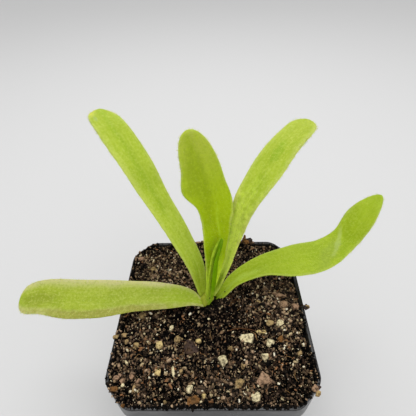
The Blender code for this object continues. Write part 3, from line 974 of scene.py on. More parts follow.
CHIPS = (
    Chip(11.5, -10.9, 4.4, 3.8, 3.0, 20, Grain.CREAM),
    Chip(3.2, -18.1, 4.2, 2.9, 2.6, 100, Grain.CREAM),
    Chip(18.6, -12.1, 2.9, 2.6, 2.4, 0, Grain.CREAM),
    Chip(-17.3, -12.8, 2.8, 2.6, 2.2, 50, Grain.YELLOW),
    Chip(-11.0, -11.1, 2.8, 2.6, 2.0, 10, Grain.TAN),
    Chip(-16.5, -21.3, 2.4, 2.1, 1.8, 70, Grain.YELLOW),
    Chip(12.6, -28.0, 3.3, 2.8, 2.4, 30, Grain.CREAM),
    Chip(-5.7, -29.7, 4.0, 3.5, 2.6, 15, Grain.BROWN),
    Chip(-6.6, -26.3, 2.7, 2.4, 2.0, 60, Grain.CREAM),
    Chip(-6.8, -13.9, 6.0, 4.6, 2.4, -30, Grain.DARK),
    Chip(15.3, -23.4, 5.0, 3.8, 2.2, 25, Grain.PINK),
    Chip(24.1, 5.4, 5.4, 2.0, 2.2, -12, Grain.PINK),
    Chip(25.2, 1.6, 3.8, 3.2, 2.4, -65, Grain.PINK),
    Chip(29.0, 0.4, 3.0, 2.4, 2.0, -30, Grain.PINK),
    Chip(-26.6, -23.9, 2.2, 1.8, 1.8, 60, Grain.PINK),
    Chip(-28.6, -23.6, 2.0, 1.7, 1.7, 30, Grain.PINK),
    Chip(-24.6, -2.1, 3.0, 2.6, 2.0, 0, Grain.TAN),
    Chip(22.8, -5.5, 3.0, 2.2, 2.0, 40, Grain.CREAM),
    Chip(19.4, -5.6, 2.8, 2.4, 1.8, 0, Grain.TAN),
    Chip(22.2, -11.1, 2.6, 2.0, 1.6, 30, Grain.BROWN),
    Chip(16.4, -16.6, 3.2, 2.6, 2.0, 70, Grain.CREAM),
    Chip(8.1, -24.6, 3.2, 2.6, 2.2, 80, Grain.TAN),
    Chip(16.0, -8.4, 3.8, 1.6, 1.4, -10, Grain.YELLOW),
    Chip(-23.6, 18.4, 3.2, 2.6, 2.0, 30, Grain.TAN),
    Chip(14.3, 30.0, 3.0, 2.2, 2.0, 15, Grain.BROWN),
    Chip(14.5, 31.2, 4.4, 2.3, 4.4, 5, Grain.DARK),
    Chip(13.5, 30.5, 1.8, 1.5, 5.2, 30, Grain.BROWN),
    Chip(16.9, 31.4, 1.8, 1.3, 1.4, 0, Grain.PINK),
    Chip(12.3, 31.2, 1.4, 1.2, 1.8, 0, Grain.BROWN),
    Chip(-5.9, 31.1, 3.0, 1.6, 1.5, 5, Grain.PINK),
    Chip(-3.7, 30.7, 1.7, 1.4, 1.4, 40, Grain.BROWN),
    Chip(-7.4, 31.3, 1.4, 1.2, 1.2, 0, Grain.DARK),
    Chip(6.0, -14.2, 2.0, 1.8, 1.5, 0, Grain.TAN),
    Chip(-28.4, 22.6, 2.6, 2.2, 1.8, 20, Grain.PINK),
    Chip(-13.7, -29.4, 1.6, 1.3, 1.2, 40, Grain.TAN),
    Chip(29.3, -26.4, 2.2, 1.8, 1.6, 60, Grain.PINK),
    Chip(29.8, -27.7, 1.9, 1.5, 1.3, 20, Grain.TAN),
    Chip(30.5, -26.1, 1.3, 1.1, 1.1, 0, Grain.DARK),
    Chip(-24.9, -30.7, 1.2, 1.1, 1.0, 10, Grain.BROWN),
    Chip(-11.8, -21.2, 4.0, 1.1, 1.2, 100, Grain.CREAM),
    Chip(-9.1, -21.1, 1.7, 1.4, 1.3, 10, Grain.TAN),
    Chip(-2.4, -28.0, 1.7, 1.5, 1.3, 50, Grain.YELLOW),
    Chip(9.4, -19.7, 1.9, 1.6, 1.4, 0, Grain.TAN),
    Chip(-4.3, -11.8, 2.2, 1.7, 1.5, 20, Grain.YELLOW),
    Chip(-13.6, -7.4, 2.2, 1.8, 1.6, 80, Grain.CREAM),
    Chip(-24.3, -12.9, 2.3, 2.1, 1.8, 0, Grain.TAN),
    Chip(-29.1, -9.5, 2.0, 1.8, 1.5, 30, Grain.TAN),
    Chip(20.0, -28.3, 1.4, 1.1, 1.1, 10, Grain.CREAM),
    Chip(27.4, -15.4, 1.9, 1.6, 1.4, 40, Grain.TAN),
    Chip(16.4, 2.8, 2.0, 1.3, 1.2, -20, Grain.TAN),
    Chip(33.1, 0.3, 1.8, 1.4, 1.7, 20, Grain.TAN),
    Chip(32.6, 0.0, 2.8, 1.3, 1.8, 60, Grain.DARK),
    Chip(-28.3, -26.5, 2.2, 1.8, 1.6, 10, Grain.BROWN),
    Chip(-26.2, -25.3, 1.3, 1.2, 1.2, 0, Grain.CREAM),
    Chip(-24.2, -22.6, 1.8, 1.6, 1.5, 40, Grain.PINK),
    Chip(-22.1, -23.8, 1.9, 1.4, 1.3, 70, Grain.PINK),
    Chip(-27.7, -22.4, 1.3, 1.1, 1.2, 0, Grain.PINK),
    Chip(-23.0, -25.8, 2.2, 1.2, 1.2, 80, Grain.TAN),
    Chip(-31.4, -10.5, 2.4, 1.8, 1.8, 20, Grain.TAN),
    Chip(-27.9, -11.7, 1.8, 1.5, 1.4, 40, Grain.TAN),
    Chip(-26.6, -18.4, 1.8, 0.8, 0.9, -45, Grain.CREAM),
    Chip(-24.3, -18.4, 1.2, 1.0, 1.0, 0, Grain.PINK),
)


class Mound(NamedTuple):
    """A place where the soil is heaped: its place, its radius and its height, in millimetres."""

    x: float
    y: float
    radius: float
    height: float


MOUNDS = (
    Mound(1.8, 1.6, 2.3, 2.5),
    Mound(4.6, 1.8, 2.0, 1.0),
    Mound(-1.8, -0.2, 1.6, 1.7),
    Mound(14.4, 30.6, 2.2, 3.1),
    Mound(-5.2, 31.0, 2.4, 2.1),
    Mound(25.5, 3.5, 4.0, 0.8),
    Mound(-27.5, -22.5, 4.0, 0.6),
    Mound(-27.0, 21.0, 4.0, 0.5),
)


class Spot(NamedTuple):
    """A drier or wetter part of the soil: its place and its spreads, in millimetres, and how much drier."""

    x: float
    y: float
    x_spread: float
    y_spread: float
    drier: float


SPOTS = (
    Spot(22, 1, 10, 12, 0.7),
    Spot(-4, -23, 26, 9, 0.15),
    Spot(-18, 16, 10, 9, 0.45),
    Spot(3, -5, 15, 7, -0.75),
)


class Fibre(NamedTuple):
    """A fibre on the soil: its ends, its thickness and its bow to one side, in millimetres, and its tint."""

    start: tuple[float, float]
    end: tuple[float, float]
    thick: float
    bow: float
    tint: float


TWIGS = (
    Fibre((4.2, -8.6), (15.2, -8.2), 0.34, 0.9, 0.45),
    Fibre((15.0, -21.2), (21.0, -17.0), 0.45, -0.8, 0.05),
    Fibre((30.4, 0.0), (33.2, 0.3), 0.32, 0.3, 0.1),
)


def roughened(height: float, x: float, y: float, layers: Sequence[tuple[float, float]], first: int) -> float:
    """Adds layers of bumps to a height.

    Args:
        height: The height.
        x: Where it is, to the right.
        y: Where it is, to the back.
        layers: How high and how wide the bumps of each layer are.
        first: The first layer's number, by which layers differ.

    Returns:
        The height with the bumps.
    """
    for layer, (rise, size) in enumerate(layers, first):
        height += rise * noise.noise(Vector((x, y, layer)) / size)
    return height


@dataclass
class Soil:
    """The potting mix: a lumpy surface with thousands of loose crumbs, grits, chips and fibres on it.

    The layers of lumps have a height and a width each. heap is the middle and the spread, to the right and
    to the back, of the crumbs heaped by the crown. cling_tops says how high crumbs cling to the crown in
    each direction, cling_radii how far out at each height, and stuck where single ones are. bare_corners
    has the directions, in half turns, in which the lip is bare, and how bare it is.
    """

    pot: NurseryPot
    crown: Vector
    drop: float = 1.4 * MM
    rise: float = 0.8 * MM
    lumps: tuple[tuple[float, float], ...] = ((1.0 * MM, 9 * MM), (0.6 * MM, 3.2 * MM))
    fine_lumps: tuple[tuple[float, float], ...] = ((0.7 * MM, 1.5 * MM), (0.3 * MM, 0.6 * MM))
    sunk: float = 0.45 * MM
    crown_dip: float = 0.9 * MM
    dip_spread: float = 6 * MM
    crown_clear: float = 3.4 * MM
    bottom: float = 1.6 * MM
    inset: float = 0.02 * MM
    bank_height: float = 1.3 * MM
    bank_width: float = 4.0 * MM
    bank_fades: float = 10 * MM
    bank_slant: float = 0.6
    bank_loss: float = 0.9
    corner_share: float = 1.74
    grid: int = 210
    crumbs: int = 8800
    heaped: int = 700
    heap: tuple[tuple[float, float], ...] = ((0.8, 2.6), (0.6, 1.3))
    clinging: int = 240
    cling_tops: tuple[tuple[float, float], ...] = (
        (-2.3, 0.8), (-1.9, 2.2), (-1.2, 3.3), (-0.6, 3.6), (-0.2, 2.8), (0.5, 3.6), (0.9, 3.0))
    cling_radii: tuple[tuple[float, float], ...] = ((0.0, 3.3), (2.0, 2.9), (3.4, 2.4), (4.3, 1.7))
    stuck: tuple[tuple[float, float, float], ...] = ((-0.6, 0.9, 64.6), (1.4, 4.1, 60.8), (4.6, 4.9, 62.7))
    grits: int = 8600
    barks: int = 4200
    rim_crumbs: int = 2100
    bare_corners: tuple[tuple[float, float], ...] = ((1.75, 0.9), (1.24, 0.7))
    bare_width: float = 0.15
    left_side: float = -0.6
    fibres: int = 110
    pebble_kinds: int = 7
    flake_kinds: int = 5

    def height(self, x: float, y: float) -> float:
        """The height of the surface that the grains lie on.

        Args:
            x: The place, to the right.
            y: The place, to the back.

        Returns:
            The height there.
        """
        half = self.pot.top / 2
        level = self.pot.height - self.drop + self.rise * (1 - (x * x + y * y) / half ** 2)
        lumpy = roughened(level, x, y, self.lumps, 0)
        from_crown = (Vector((x, y)) - self.crown.xy).length / self.dip_spread
        dip = self.crown_dip * math.exp(-from_crown * from_crown)
        from_wall = half - self.pot.wall - max(abs(x), abs(y), (abs(x) + abs(y)) / self.corner_share)
        near_wall = max(0.0, 1 - max(0.0, from_wall) / self.bank_width) ** 2
        right = max(0.0, min(1.0, (x - self.bank_slant * abs(y)) / self.bank_fades))
        mounds = 0.0
        for mound in MOUNDS:
            distance = math.hypot(x / MM - mound.x, y / MM - mound.y) / mound.radius
            mounds += mound.height * MM * math.exp(-distance * distance)
        return lumpy - dip + self.bank_height * near_wall * (1 - self.bank_loss * right) + mounds

    def reach(self, angles: np.ndarray, height: float, inset: float) -> np.ndarray:
        """How far the pot's inner wall is from the middle.

        Args:
            angles: The directions, in radians.
            height: The height.
            inset: How far inside the wall it is measured.

        Returns:
            The distances.
        """
        ring = np.array(self.pot.ring(height, -self.pot.wall - inset))
        bearings = np.arctan2(ring[:, 1], ring[:, 0])
        order = np.argsort(bearings)
        return np.interp(angles, bearings[order], np.hypot(ring[:, 0], ring[:, 1])[order], period=math.tau)

    def build_surface(self, finish: PeatFinish) -> bpy.types.Object:
        """Makes the body of soil, whose top follows the lumps and crumbs.

        Args:
            finish: The peat.

        Returns:
            The soil.
        """
        bm = bmesh.new()
        bmesh.ops.create_grid(bm, x_segments=self.grid, y_segments=self.grid, size=1.0)
        bm.verts.ensure_lookup_table()
        square = np.array([vertex.co[:2] for vertex in bm.verts])
        angles = np.arctan2(square[:, 1], square[:, 0])
        reaches = self.reach(angles, self.pot.height - self.drop, self.inset) * np.abs(square).max(axis=1)
        for vertex, angle, reach in zip(bm.verts, angles, reaches):
            x, y = reach * math.cos(angle), reach * math.sin(angle)
            rough = roughened(self.height(x, y), x, y, self.fine_lumps, len(self.lumps))
            vertex.co = (x, y, rough - self.sunk)
        rim = [edge for edge in bm.edges if edge.is_boundary]
        skirt = bmesh.ops.extrude_edge_only(bm, edges=rim)["geom"]
        walls = 2 * self.pot.wall
        taper = (self.pot.side(self.bottom) - walls) / (self.pot.side(self.pot.height) - walls)
        for vertex in [item for item in skirt if isinstance(item, bmesh.types.BMVert)]:
            vertex.co = (vertex.co.x * taper, vertex.co.y * taper, self.bottom)
        close(bm)
        soil = add_piece(bm, "soil_bed", finish.material(), "soil")
        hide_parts("soil")
        return soil

    def ground(self, x: float, y: float) -> float:
        """The height of whatever a grain lies on there: the soil, or the pot's lip past the inner wall."""
        reach = self.reach(np.array((math.atan2(y, x),)), self.pot.height, 0.0)[0]
        return self.pot.height if math.hypot(x, y) > reach else self.height(x, y)

    def dryness(self, places: np.ndarray) -> np.ndarray:
        """How dry and pale the mix is at places.

        Args:
            places: The places, as rows.

        Returns:
            A share from 0 to 1 for each.
        """
        x, y = places[:, 0] / MM, places[:, 1] / MM
        dry = 0.42 + 0.5 * np.array([noise.noise(Vector((*place, 40.0)) / 9.0) for place in zip(x, y)])
        for spot in SPOTS:
            off_x, off_y = (x - spot.x) / spot.x_spread, (y - spot.y) / spot.y_spread
            dry += spot.drier * np.exp(-off_x ** 2 - off_y ** 2)
        return np.clip(dry, 0.0, 1.0)

    def scatter(self, draw: np.random.Generator, count: int, inset: float,
                wet_share: float = 1.0) -> np.ndarray:
        """Random places on the soil.

        Args:
            draw: The source of chance.
            count: How many at most.
            inset: How far they stay from the wall.
            wet_share: How many of them there are where the mix is wettest, against 1 where it is dry.

        Returns:
            The places, as rows of x and y.
        """
        half = self.pot.top / 2
        places = draw.uniform(-half, half, (4 * count, 2))
        if wet_share < 1:
            shares = wet_share + (1 - wet_share) * self.dryness(places)
            places = places[draw.uniform(0, 1, len(places)) < shares]
        reach = self.reach(np.arctan2(places[:, 1], places[:, 0]), self.pot.height - self.drop, inset)
        inside = np.hypot(places[:, 0], places[:, 1]) < reach
        clear = np.hypot(places[:, 0] - self.crown.x, places[:, 1] - self.crown.y) > self.crown_clear
        return places[inside & clear][:count]

    def seats(self, places: np.ndarray, lift: np.ndarray) -> np.ndarray:
        """Puts places on the soil, each lifted by an amount."""
        heights = [self.height(x, y) for x, y in places]
        return np.column_stack((places, np.array(heights) + lift))

    def lay_crumbs(self, draw: np.random.Generator, finish: GrainFinish) -> None:
        """Lays the dark crumbs of peat, heaps more of them by the crown, and sets a few up on its side.

        Args:
            draw: The source of chance.
            finish: The crumbs' finish.
        """
        shapes = pebbles(draw, self.pebble_kinds)
        places = self.scatter(draw, self.crumbs, 0.2 * MM)
        count = len(places)
        heap = [draw.normal(middle, spread, self.heaped) for middle, spread in self.heap]
        places = np.vstack((places, np.column_stack(heap) * MM))
        dry = self.dryness(places)
        size = skewed(draw, len(places), 0.37, 1.25, 3.0) * (0.6 + 0.7 * dry) * MM
        size[count:] = draw.uniform(0.35, 0.9, self.heaped) * MM
        tints = skewed(draw, len(places), 0, 0.85, 2.9 - 1.2 * dry) + 0.45 * (dry - 0.5)
        tints[count:] = skewed(draw, self.heaped, 0, 0.55, 1.6)
        seats = np.vstack((self.seats(places, 0.12 * size), self.cling(draw)))
        size = np.append(size, draw.uniform(0.35, 0.8, self.clinging) * MM)
        tints = np.append(tints, skewed(draw, self.clinging, 0, 0.45, 2))
        kinds, turns = tumbled(draw, shapes, size, (0.8, 1.5))
        stamp("peat_crumbs", shapes, kinds, turns, seats, tints, finish.material(), "soil", lit=0.24)

    def cling(self, draw: np.random.Generator) -> np.ndarray:
        """Places of crumbs that stick to the crown's front and right side, where the heap leans on it.

        Args:
            draw: The source of chance.

        Returns:
            The places, as rows. The last few are those that the photo shows stuck higher up.
        """
        bearings = draw.uniform(self.cling_tops[0][0], self.cling_tops[-1][0], self.clinging)
        tops = np.interp(bearings, *zip(*self.cling_tops))
        heights = skewed(draw, self.clinging, 0, tops, 0.8)
        radii = np.interp(heights, *zip(*self.cling_radii))
        rows = np.column_stack((radii * np.cos(bearings), radii * np.sin(bearings), heights))
        seats = rows * MM + np.array(self.crown)
        seats[-len(self.stuck):] = np.array(self.stuck) * MM
        return seats

    def rim_shares(self, bearing: np.ndarray, beyond: np.ndarray, places: np.ndarray) -> np.ndarray:
        """How thickly crumbs lie on the lip: heaped at the front and left, and few at the bare corners.

        Args:
            bearing: Each place's direction from the pot's middle.
            beyond: How far past the inner wall it is.
            places: The places, as rows.

        Returns:
            A share from 0 to 1 for each.
        """
        left = np.cos(bearing) < self.left_side
        heaped = (np.sin(bearing) < -0.5) | left
        shares = np.clip(0.5 - 0.9 * np.sin(bearing) - 0.4 * np.cos(bearing), 0.03, 1.0)
        shares += (2.0 * heaped + 1.0 * left) * (beyond < 0.7 * MM)
        shares = np.maximum(shares, 0.25 * (np.sin(bearing) > 0.6))
        clouds = np.array([noise.noise(Vector((x, y, 0)) / (3 * MM)) for x, y in places])
        shares = np.minimum(shares * np.clip(0.5 + 1.6 * clouds, 0.45 * heaped, 1), 1.0)
        for corner, bared in self.bare_corners:
            shares *= 1 - bared * np.exp(-((bearing - corner * math.pi) / self.bare_width) ** 2)
        return shares

    def lay_rim(self, draw: np.random.Generator, finish: GrainFinish) -> None:
        """Lays the crumbs that cling to the pot's lip.

        Args:
            draw: The source of chance.
            finish: The crumbs' finish.
        """
        shapes = pebbles(draw, self.pebble_kinds)
        bearing = draw.uniform(0, math.tau, 6 * self.rim_crumbs)
        beyond = draw.triangular(-0.6, 0.1, 1.1, len(bearing)) * MM
        reach = self.reach(bearing, self.pot.height, 0.0) + beyond
        places = np.column_stack((reach * np.cos(bearing), reach * np.sin(bearing)))
        shares = self.rim_shares(bearing, beyond, places)
        kept = np.flatnonzero(draw.uniform(0, 1, len(places)) < shares)[:self.rim_crumbs]
        places = places[kept]
        # Painted shade: crumbs past the inner wall, except along the left side, are darker.
        shaded = (beyond > 0.15 * MM) & (np.cos(bearing) >= self.left_side)
        shade = np.where(shaded, 0.4, 1.0)[kept]
        size = skewed(draw, len(places), 0.35, 0.8, 2) * MM
        seats = self.seats(places, 0.15 * size)
        seats[:, 2] = np.maximum(seats[:, 2], self.pot.height + 0.15 * size)
        kinds, turns = tumbled(draw, shapes, size, (0.8, 1.5))
        tints = skewed(draw, len(size), 0, 0.95 * shade, 1.6)
        stamp("rim_crumbs", shapes, kinds, turns, seats, tints, finish.material(), "soil", lit=0.2)

    def lay_grits(self, draw: np.random.Generator, finish: GrainFinish) -> None:
        """Lays the pale grit: many fine bits and a few larger ones.

        Args:
            draw: The source of chance.
            finish: The grit's finish.
        """
        shapes = pebbles(draw, self.pebble_kinds)
        places = self.scatter(draw, self.grits, 0.3 * MM, 0.25)
        size = skewed(draw, len(places), 0.25, 0.85, 4.0) * MM
        seats = self.seats(places, 0.30 * size + 0.12 * MM)
        kinds, turns = tumbled(draw, shapes, size, (1.0, 1.7))
        tints = skewed(draw, len(size), 0, 0.95, 2.3 - 0.9 * self.dryness(places))
        stamp("pale_grit", shapes, kinds, turns, seats, tints, finish.material(), "soil", lit=0.12)

    def lay_bark(self, draw: np.random.Generator, finish: GrainFinish) -> None:
        """Lays the flakes and splinters of bark.

        Args:
            draw: The source of chance.
            finish: The bark's finish.
        """
        shapes = pebbles(draw, self.flake_kinds)
        places = self.scatter(draw, self.barks, 0.8 * MM, 0.3)
        size = skewed(draw, len(places), 0.36, 0.8, 2.4) * MM
        seats = self.seats(places, 0.15 * size + 0.05 * MM)
        flat = np.column_stack((size * draw.uniform(1.4, 3.2, len(size)), size, size * 0.45))
        yaw = draw.uniform(0, math.tau, len(size))
        tilt = draw.normal(0, 0.5, (len(size), 2))
        turns = np.array([Euler((a, b, c)).to_matrix() for (a, b), c in zip(tilt, yaw)]) * flat[:, None, :]
        kinds = draw.integers(0, len(shapes), len(size))
        tints = skewed(draw, len(size), 0, 1.0, 1.8)
        stamp("bark_flakes", shapes, kinds, turns, seats, tints, finish.material(), "soil", lit=0.15)

    def lay_chips(self, draw: np.random.Generator, finish: GrainFinish) -> None:
        """Lays the large grains and chips at their own places.

        Args:
            draw: The source of chance.
            finish: The grains' finish.
        """
        bm = bmesh.new()
        tints, tops = [], []
        for chip in CHIPS:
            shape = stone(draw, chip, self.ground(chip.x * MM, chip.y * MM))
            tints += [chip.kind.value + draw.uniform(-0.03, 0.03)] * len(shape.vertices)
            # How far each point faces up, which the finish reads for its painted shade on the sides.
            tops += [vertex.normal.z for vertex in shape.vertices]
            bm.from_mesh(shape)
            bpy.data.meshes.remove(shape)
        piece = add_piece(bm, "large_grains", finish.material(), "soil", smooth=False)
        carry(piece, "tint", tints)
        carry(piece, "top", tops)

    def lay_fibres(self, draw: np.random.Generator, finish: GrainFinish) -> None:
        """Lays three twigs at their own places, and thin fibres anywhere.

        Args:
            draw: The source of chance.
            finish: The fibres' finish.
        """
        fibres = list(TWIGS)
        limit = self.pot.top / MM / 2 - 3
        for x, y in self.scatter(draw, self.fibres, 4 * MM) / MM:
            bearing, length = draw.uniform(0, math.tau), draw.uniform(2.0, 5.5)
            end = (x + length * math.cos(bearing) * 0.8, y + length * math.sin(bearing) * 0.8)
            end = tuple(max(-limit, min(limit, part)) for part in end)
            thick, bow, tint = (draw.uniform(*ends) for ends in ((0.10, 0.22), (-1, 1), (0, 1)))
            fibres.append(Fibre((x, y), end, thick, bow, tint))
        bm = bmesh.new()
        tints = []
        for fibre in fibres:
            mesh = mesh_of(self.fibre_shape(fibre), "fibre")
            tints += [fibre.tint] * len(mesh.vertices)
            bm.from_mesh(mesh)
            bpy.data.meshes.remove(mesh)
        piece = add_piece(bm, "fibres", finish.material(), "soil")
        carry(piece, "tint", tints)

    def fibre_shape(self, fibre: Fibre) -> bmesh.types.BMesh:
        """Makes one fibre that lies on the soil.

        Args:
            fibre: Its ends and sizes.

        Returns:
            The fibre.
        """
        start, end = Vector(fibre.start) * MM, Vector(fibre.end) * MM
        thick, bow = fibre.thick * MM, fibre.bow * MM
        sideways = Vector((start.y - end.y, end.x - start.x)).normalized()

        def place(turn: float, share: float) -> Vector:
            """A point on the fibre's skin.

            Args:
                turn: The share of the turn.
                share: The share of the length.

            Returns:
                The point.
            """
            arch = math.sin(share * math.pi)
            flat = start.lerp(end, share) + sideways * bow * arch * (1 + 0.4 * math.sin(7 * share))
            height = self.height(flat.x, flat.y) if abs(flat.x) < 30 * MM else self.pot.height
            height += thick * 0.4 + 0.7 * MM * arch
            radius = thick / 2 * math.sqrt(max(0.0, 1 - (2 * share - 1) ** 4))
            angle = turn * math.tau
            return Vector((*(flat + sideways * radius * math.cos(angle)), height + radius * math.sin(angle)))

        return loft(6, 14, place)


def pebbles(draw: np.random.Generator, count: int) -> list[bpy.types.Mesh]:
    """Small uneven grains of unit size with a few faces each.

    Args:
        draw: The source of chance.
        count: How many different ones.

    Returns:
        Their meshes.
    """
    meshes = []
    for _ in range(count):
        bm = bmesh.new()
        bmesh.ops.create_icosphere(bm, subdivisions=1, radius=0.5)
        for vertex in bm.verts:
            vertex.co *= draw.uniform(0.62, 1.18)
        meshes.append(mesh_of(bm, "pebble"))
    return meshes


# A large grain's lumps: how high each kind is, and how many lie across it.
STONE_LUMPS = ((0.20, 3), (0.10, 9), (0.06, 22))
STONE_FLATS = 13


def stone(draw: np.random.Generator, chip: Chip, ground: float) -> bpy.types.Mesh:
    """One large grain: a ball with flats knocked on it, made rough, and sunk by about a third.

    Args:
        draw: The source of chance.
        chip: Its place and sizes.
        ground: The height of the soil there.

    Returns:
        Its mesh.
    """
    bm = bmesh.new()
    bmesh.ops.create_icosphere(bm, subdivisions=4 if chip.length > 3 else 3, radius=0.5)
    flats = draw.normal(0, 1, (STONE_FLATS, 3))
    flats /= np.linalg.norm(flats, axis=1)[:, None]
    depths = draw.uniform(0.27, 0.44, len(flats))
    shift = Vector(draw.uniform(-50, 50, 3))
    for vertex in bm.verts:
        for normal, depth in zip(flats, depths):
            beyond = vertex.co.dot(normal) - depth
            if beyond > 0:
                vertex.co -= Vector(normal) * beyond
        swell = sum(rise * noise.noise(vertex.co * often + shift) for rise, often in STONE_LUMPS)
        vertex.co *= 1.12 + swell
    turn = Euler((draw.uniform(-0.25, 0.25), draw.uniform(-0.25, 0.25), math.radians(chip.turn)))
    size = Matrix.Diagonal(Vector((chip.length, chip.width, chip.height)) * MM)
    seat = Vector((chip.x * MM, chip.y * MM, ground + 0.15 * chip.height * MM))
    bm.transform(Matrix.Translation(seat) @ turn.to_matrix().to_4x4() @ size.to_4x4())
    return mesh_of(bm, "stone")


class Station(NamedTuple):
    """One place on a leaf's midrib, from the crown's foot: out along its heading, up, and to its left.

    With it go the leaf's half widths there, to the left and the right, its roll and its curl.
    """

    out: float
    up: float
    side: float
    left: float
    right: float
    roll: float
    curl: float


def through(knots: np.ndarray, rows: np.ndarray, places: np.ndarray) -> np.ndarray:
    """Rows of values on a smooth curve through every given row.

    Args:
        knots: Where the given rows are.
        rows: The given rows.
        places: Where values are wanted.

    Returns:
        A row for each place.
    """
    slopes = np.gradient(rows, knots, axis=0)
    before = np.clip(np.searchsorted(knots, places, side="right") - 1, 0, len(knots) - 2)
    span = (knots[before + 1] - knots[before])[:, None]
    t = (places - knots[before])[:, None] / span
    start = (1 + 2 * t) * (1 - t) ** 2 * rows[before] + t * (1 - t) ** 2 * span * slopes[before]
    end = t * t * (3 - 2 * t) * rows[before + 1] - t * t * (1 - t) * span * slopes[before + 1]
    return start + end


@dataclass
class Leaf:
    """One fleshy leaf: thick at its midrib, with rounded margins, a grooved upper side and sticky hairs.

    Its sizes are in millimetres, and heading is its direction from above, in degrees. swell, dents and
    margin_bumps are unevenness, each with its height and its width.
    """

    name: str
    heading: float
    end_length: float
    end_square: float
    thick: float
    finish: LeafFinish
    stations: tuple[Station, ...]
    around: int = 72
    along: int = 210
    tip_share: float = 0.2
    margin_share: float = 0.5
    wave_height: float = 0.25
    wave_length: float = 17.0
    wave_shift: float = 2.0
    groove_depth: float = 0.30
    groove_width: float = 0.9
    swell: tuple[float, float] = (0.16, 6.5)
    dents: tuple[float, float] = (0.05, 2.4)
    margin_bumps: tuple[float, float] = (0.10, 1.9)
    foot_fade: float = 8.0
    glands: int = 1600
    gland_height: float = 0.20
    margin_height: float = 0.44
    gland_margin: float = 0.93
    gland_crowd: float = 5.0
    gland_lean: float = 0.22
    bare_foot: float = 8.0
    short_foot: float = 14.0

    def spine(self) -> None:
        """Works out the midrib: its rows of values, its frames, and the rounding of the leaf's end."""
        heading = math.radians(self.heading)
        outwards = np.array((math.cos(heading), math.sin(heading), 0.0))
        leftwards = np.array((-math.sin(heading), math.cos(heading), 0.0))
        table = np.array(self.stations, dtype=float)
        up = np.array((0.0, 0.0, 1.0))
        places = table[:, :1] * outwards + table[:, 1:2] * up + table[:, 2:3] * leftwards
        steps = np.linalg.norm(np.diff(places, axis=0), axis=1)
        knots = np.concatenate(((0.0,), np.cumsum(steps)))
        values = np.hstack((places, table[:, 3:]))
        chord = (places[-1] - places[0]) / np.linalg.norm(places[-1] - places[0])
        faces = up - chord * chord[2]

        shares = np.linspace(0.0, 1.0, self.along + 1)
        straight = knots[-1] - self.end_length
        angles = np.clip((shares - 1 + self.tip_share) / self.tip_share, 0, 1) * math.pi / 2
        before_end = straight * np.minimum(shares / (1 - self.tip_share), 1.0)
        self.distance = before_end + self.end_length * np.sin(angles)
        power = self.end_square
        self.rounding = np.clip(1 - np.sin(angles) ** power, 0, 1) ** (1 / power)
        self.values = through(knots, values, self.distance)
        ahead = through(knots, values, np.minimum(self.distance + 0.5, knots[-1]))
        behind = through(knots, values, np.maximum(self.distance - 0.5, 0.0))
        forwards = ahead[:, :3] - behind[:, :3]
        forwards /= np.linalg.norm(forwards, axis=1)[:, None]
        rightwards = np.cross(forwards, faces)
        rightwards /= np.linalg.norm(rightwards, axis=1)[:, None]
        upwards = np.cross(rightwards, forwards)
        roll = np.radians(self.values[:, 5])[:, None]
        self.rightwards = rightwards * np.cos(roll) + upwards * np.sin(roll)
        self.upwards = np.cross(self.rightwards, forwards)

    def half_thickness(self, across: float, rounding: float) -> float:
        """Half the blade's thickness: full at the midrib, less at the margins, and none on the very edge.

        Args:
            across: The place across the blade, from -1 to 1.
            rounding: How full the blade's end is there.

        Returns:
            The half thickness.
        """
        body = 1 - (1 - self.margin_share) * across * across
        edge = math.sqrt(max(0.0, 1 - abs(across) ** 8))
        return self.thick / 2 * body * edge * (1 - (1 - rounding) ** 4)

    def point(self, turn: float, share: float) -> tuple[Vector, Vector]:
        """A point on the leaf's skin.

        Args:
            turn: Where it is round the blade's section, from 0 to 1.
            share: Where it is along the blade, from 0 at the base to 1 at the tip.

        Returns:
            The point, and its measures: across from -1 to 1, along in millimetres, and its side.
        """
        row = round(share * self.along)
        values, rounding, distance = self.values[row], self.rounding[row], self.distance[row]
        angle = math.tau * turn
        across, side = math.cos(angle), math.sin(angle)
        width = (values[3] if across < 0 else values[4]) * rounding
        curl = math.radians(values[6]) * rounding + ALMOST_FLAT
        turned = curl * abs(across)
        reach = width * math.sin(turned) / curl
        lift = width * (1 - math.cos(turned)) / curl
        wave = math.tau * distance / self.wave_length + (0.0 if across < 0 else self.wave_shift)
        lift += self.wave_height * across * across * rounding * math.sin(wave) * share
        sign = math.copysign(1.0, across)
        rightwards = Vector(self.rightwards[row])
        upwards = Vector(self.upwards[row])
        middle = Vector(values[:3]) + rightwards * reach * sign + upwards * lift
        normal = upwards * math.cos(turned) - rightwards * math.sin(turned) * sign
        offset = self.half_thickness(across, rounding) * math.copysign(1.0, side)
        fade = min(1.0, distance / self.foot_fade) * rounding
        groove = self.groove_depth * fade * math.exp(-(across * width / self.groove_width) ** 2)
        swell = sum(rise * noise.noise(middle / size) for rise, size in (self.swell, self.dents))
        rise, size = self.margin_bumps
        edge = rise * noise.noise(Vector((distance / size, sign * 5, 3.0))) * abs(across) ** 6
        offset += swell * fade - groove + edge * fade
        return middle * MM + normal * offset * MM, Vector((across, distance, side))

    def build(self, crown: Vector) -> bpy.types.Object:
        """Makes the blade, which stands for the CAD leaf.

        Args:
            crown: The crown's foot, from which the leaf's places are measured.

        Returns:
            The blade.
        """
        self.spine()
        bm = bmesh.new()
        bmesh.ops.create_grid(bm, x_segments=self.around, y_segments=self.along, size=0.5)
        measures = bm.verts.layers.float_vector.new("blade")
        for vertex in bm.verts:
            place, measure = self.point(vertex.co.x + 0.5, vertex.co.y + 0.5)
            vertex.co = place + crown
            vertex[measures] = measure
        close(bm)
        blade = add_piece(bm, self.name + "_blade", self.finish.material(), self.name)
        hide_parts(self.name)
        return blade

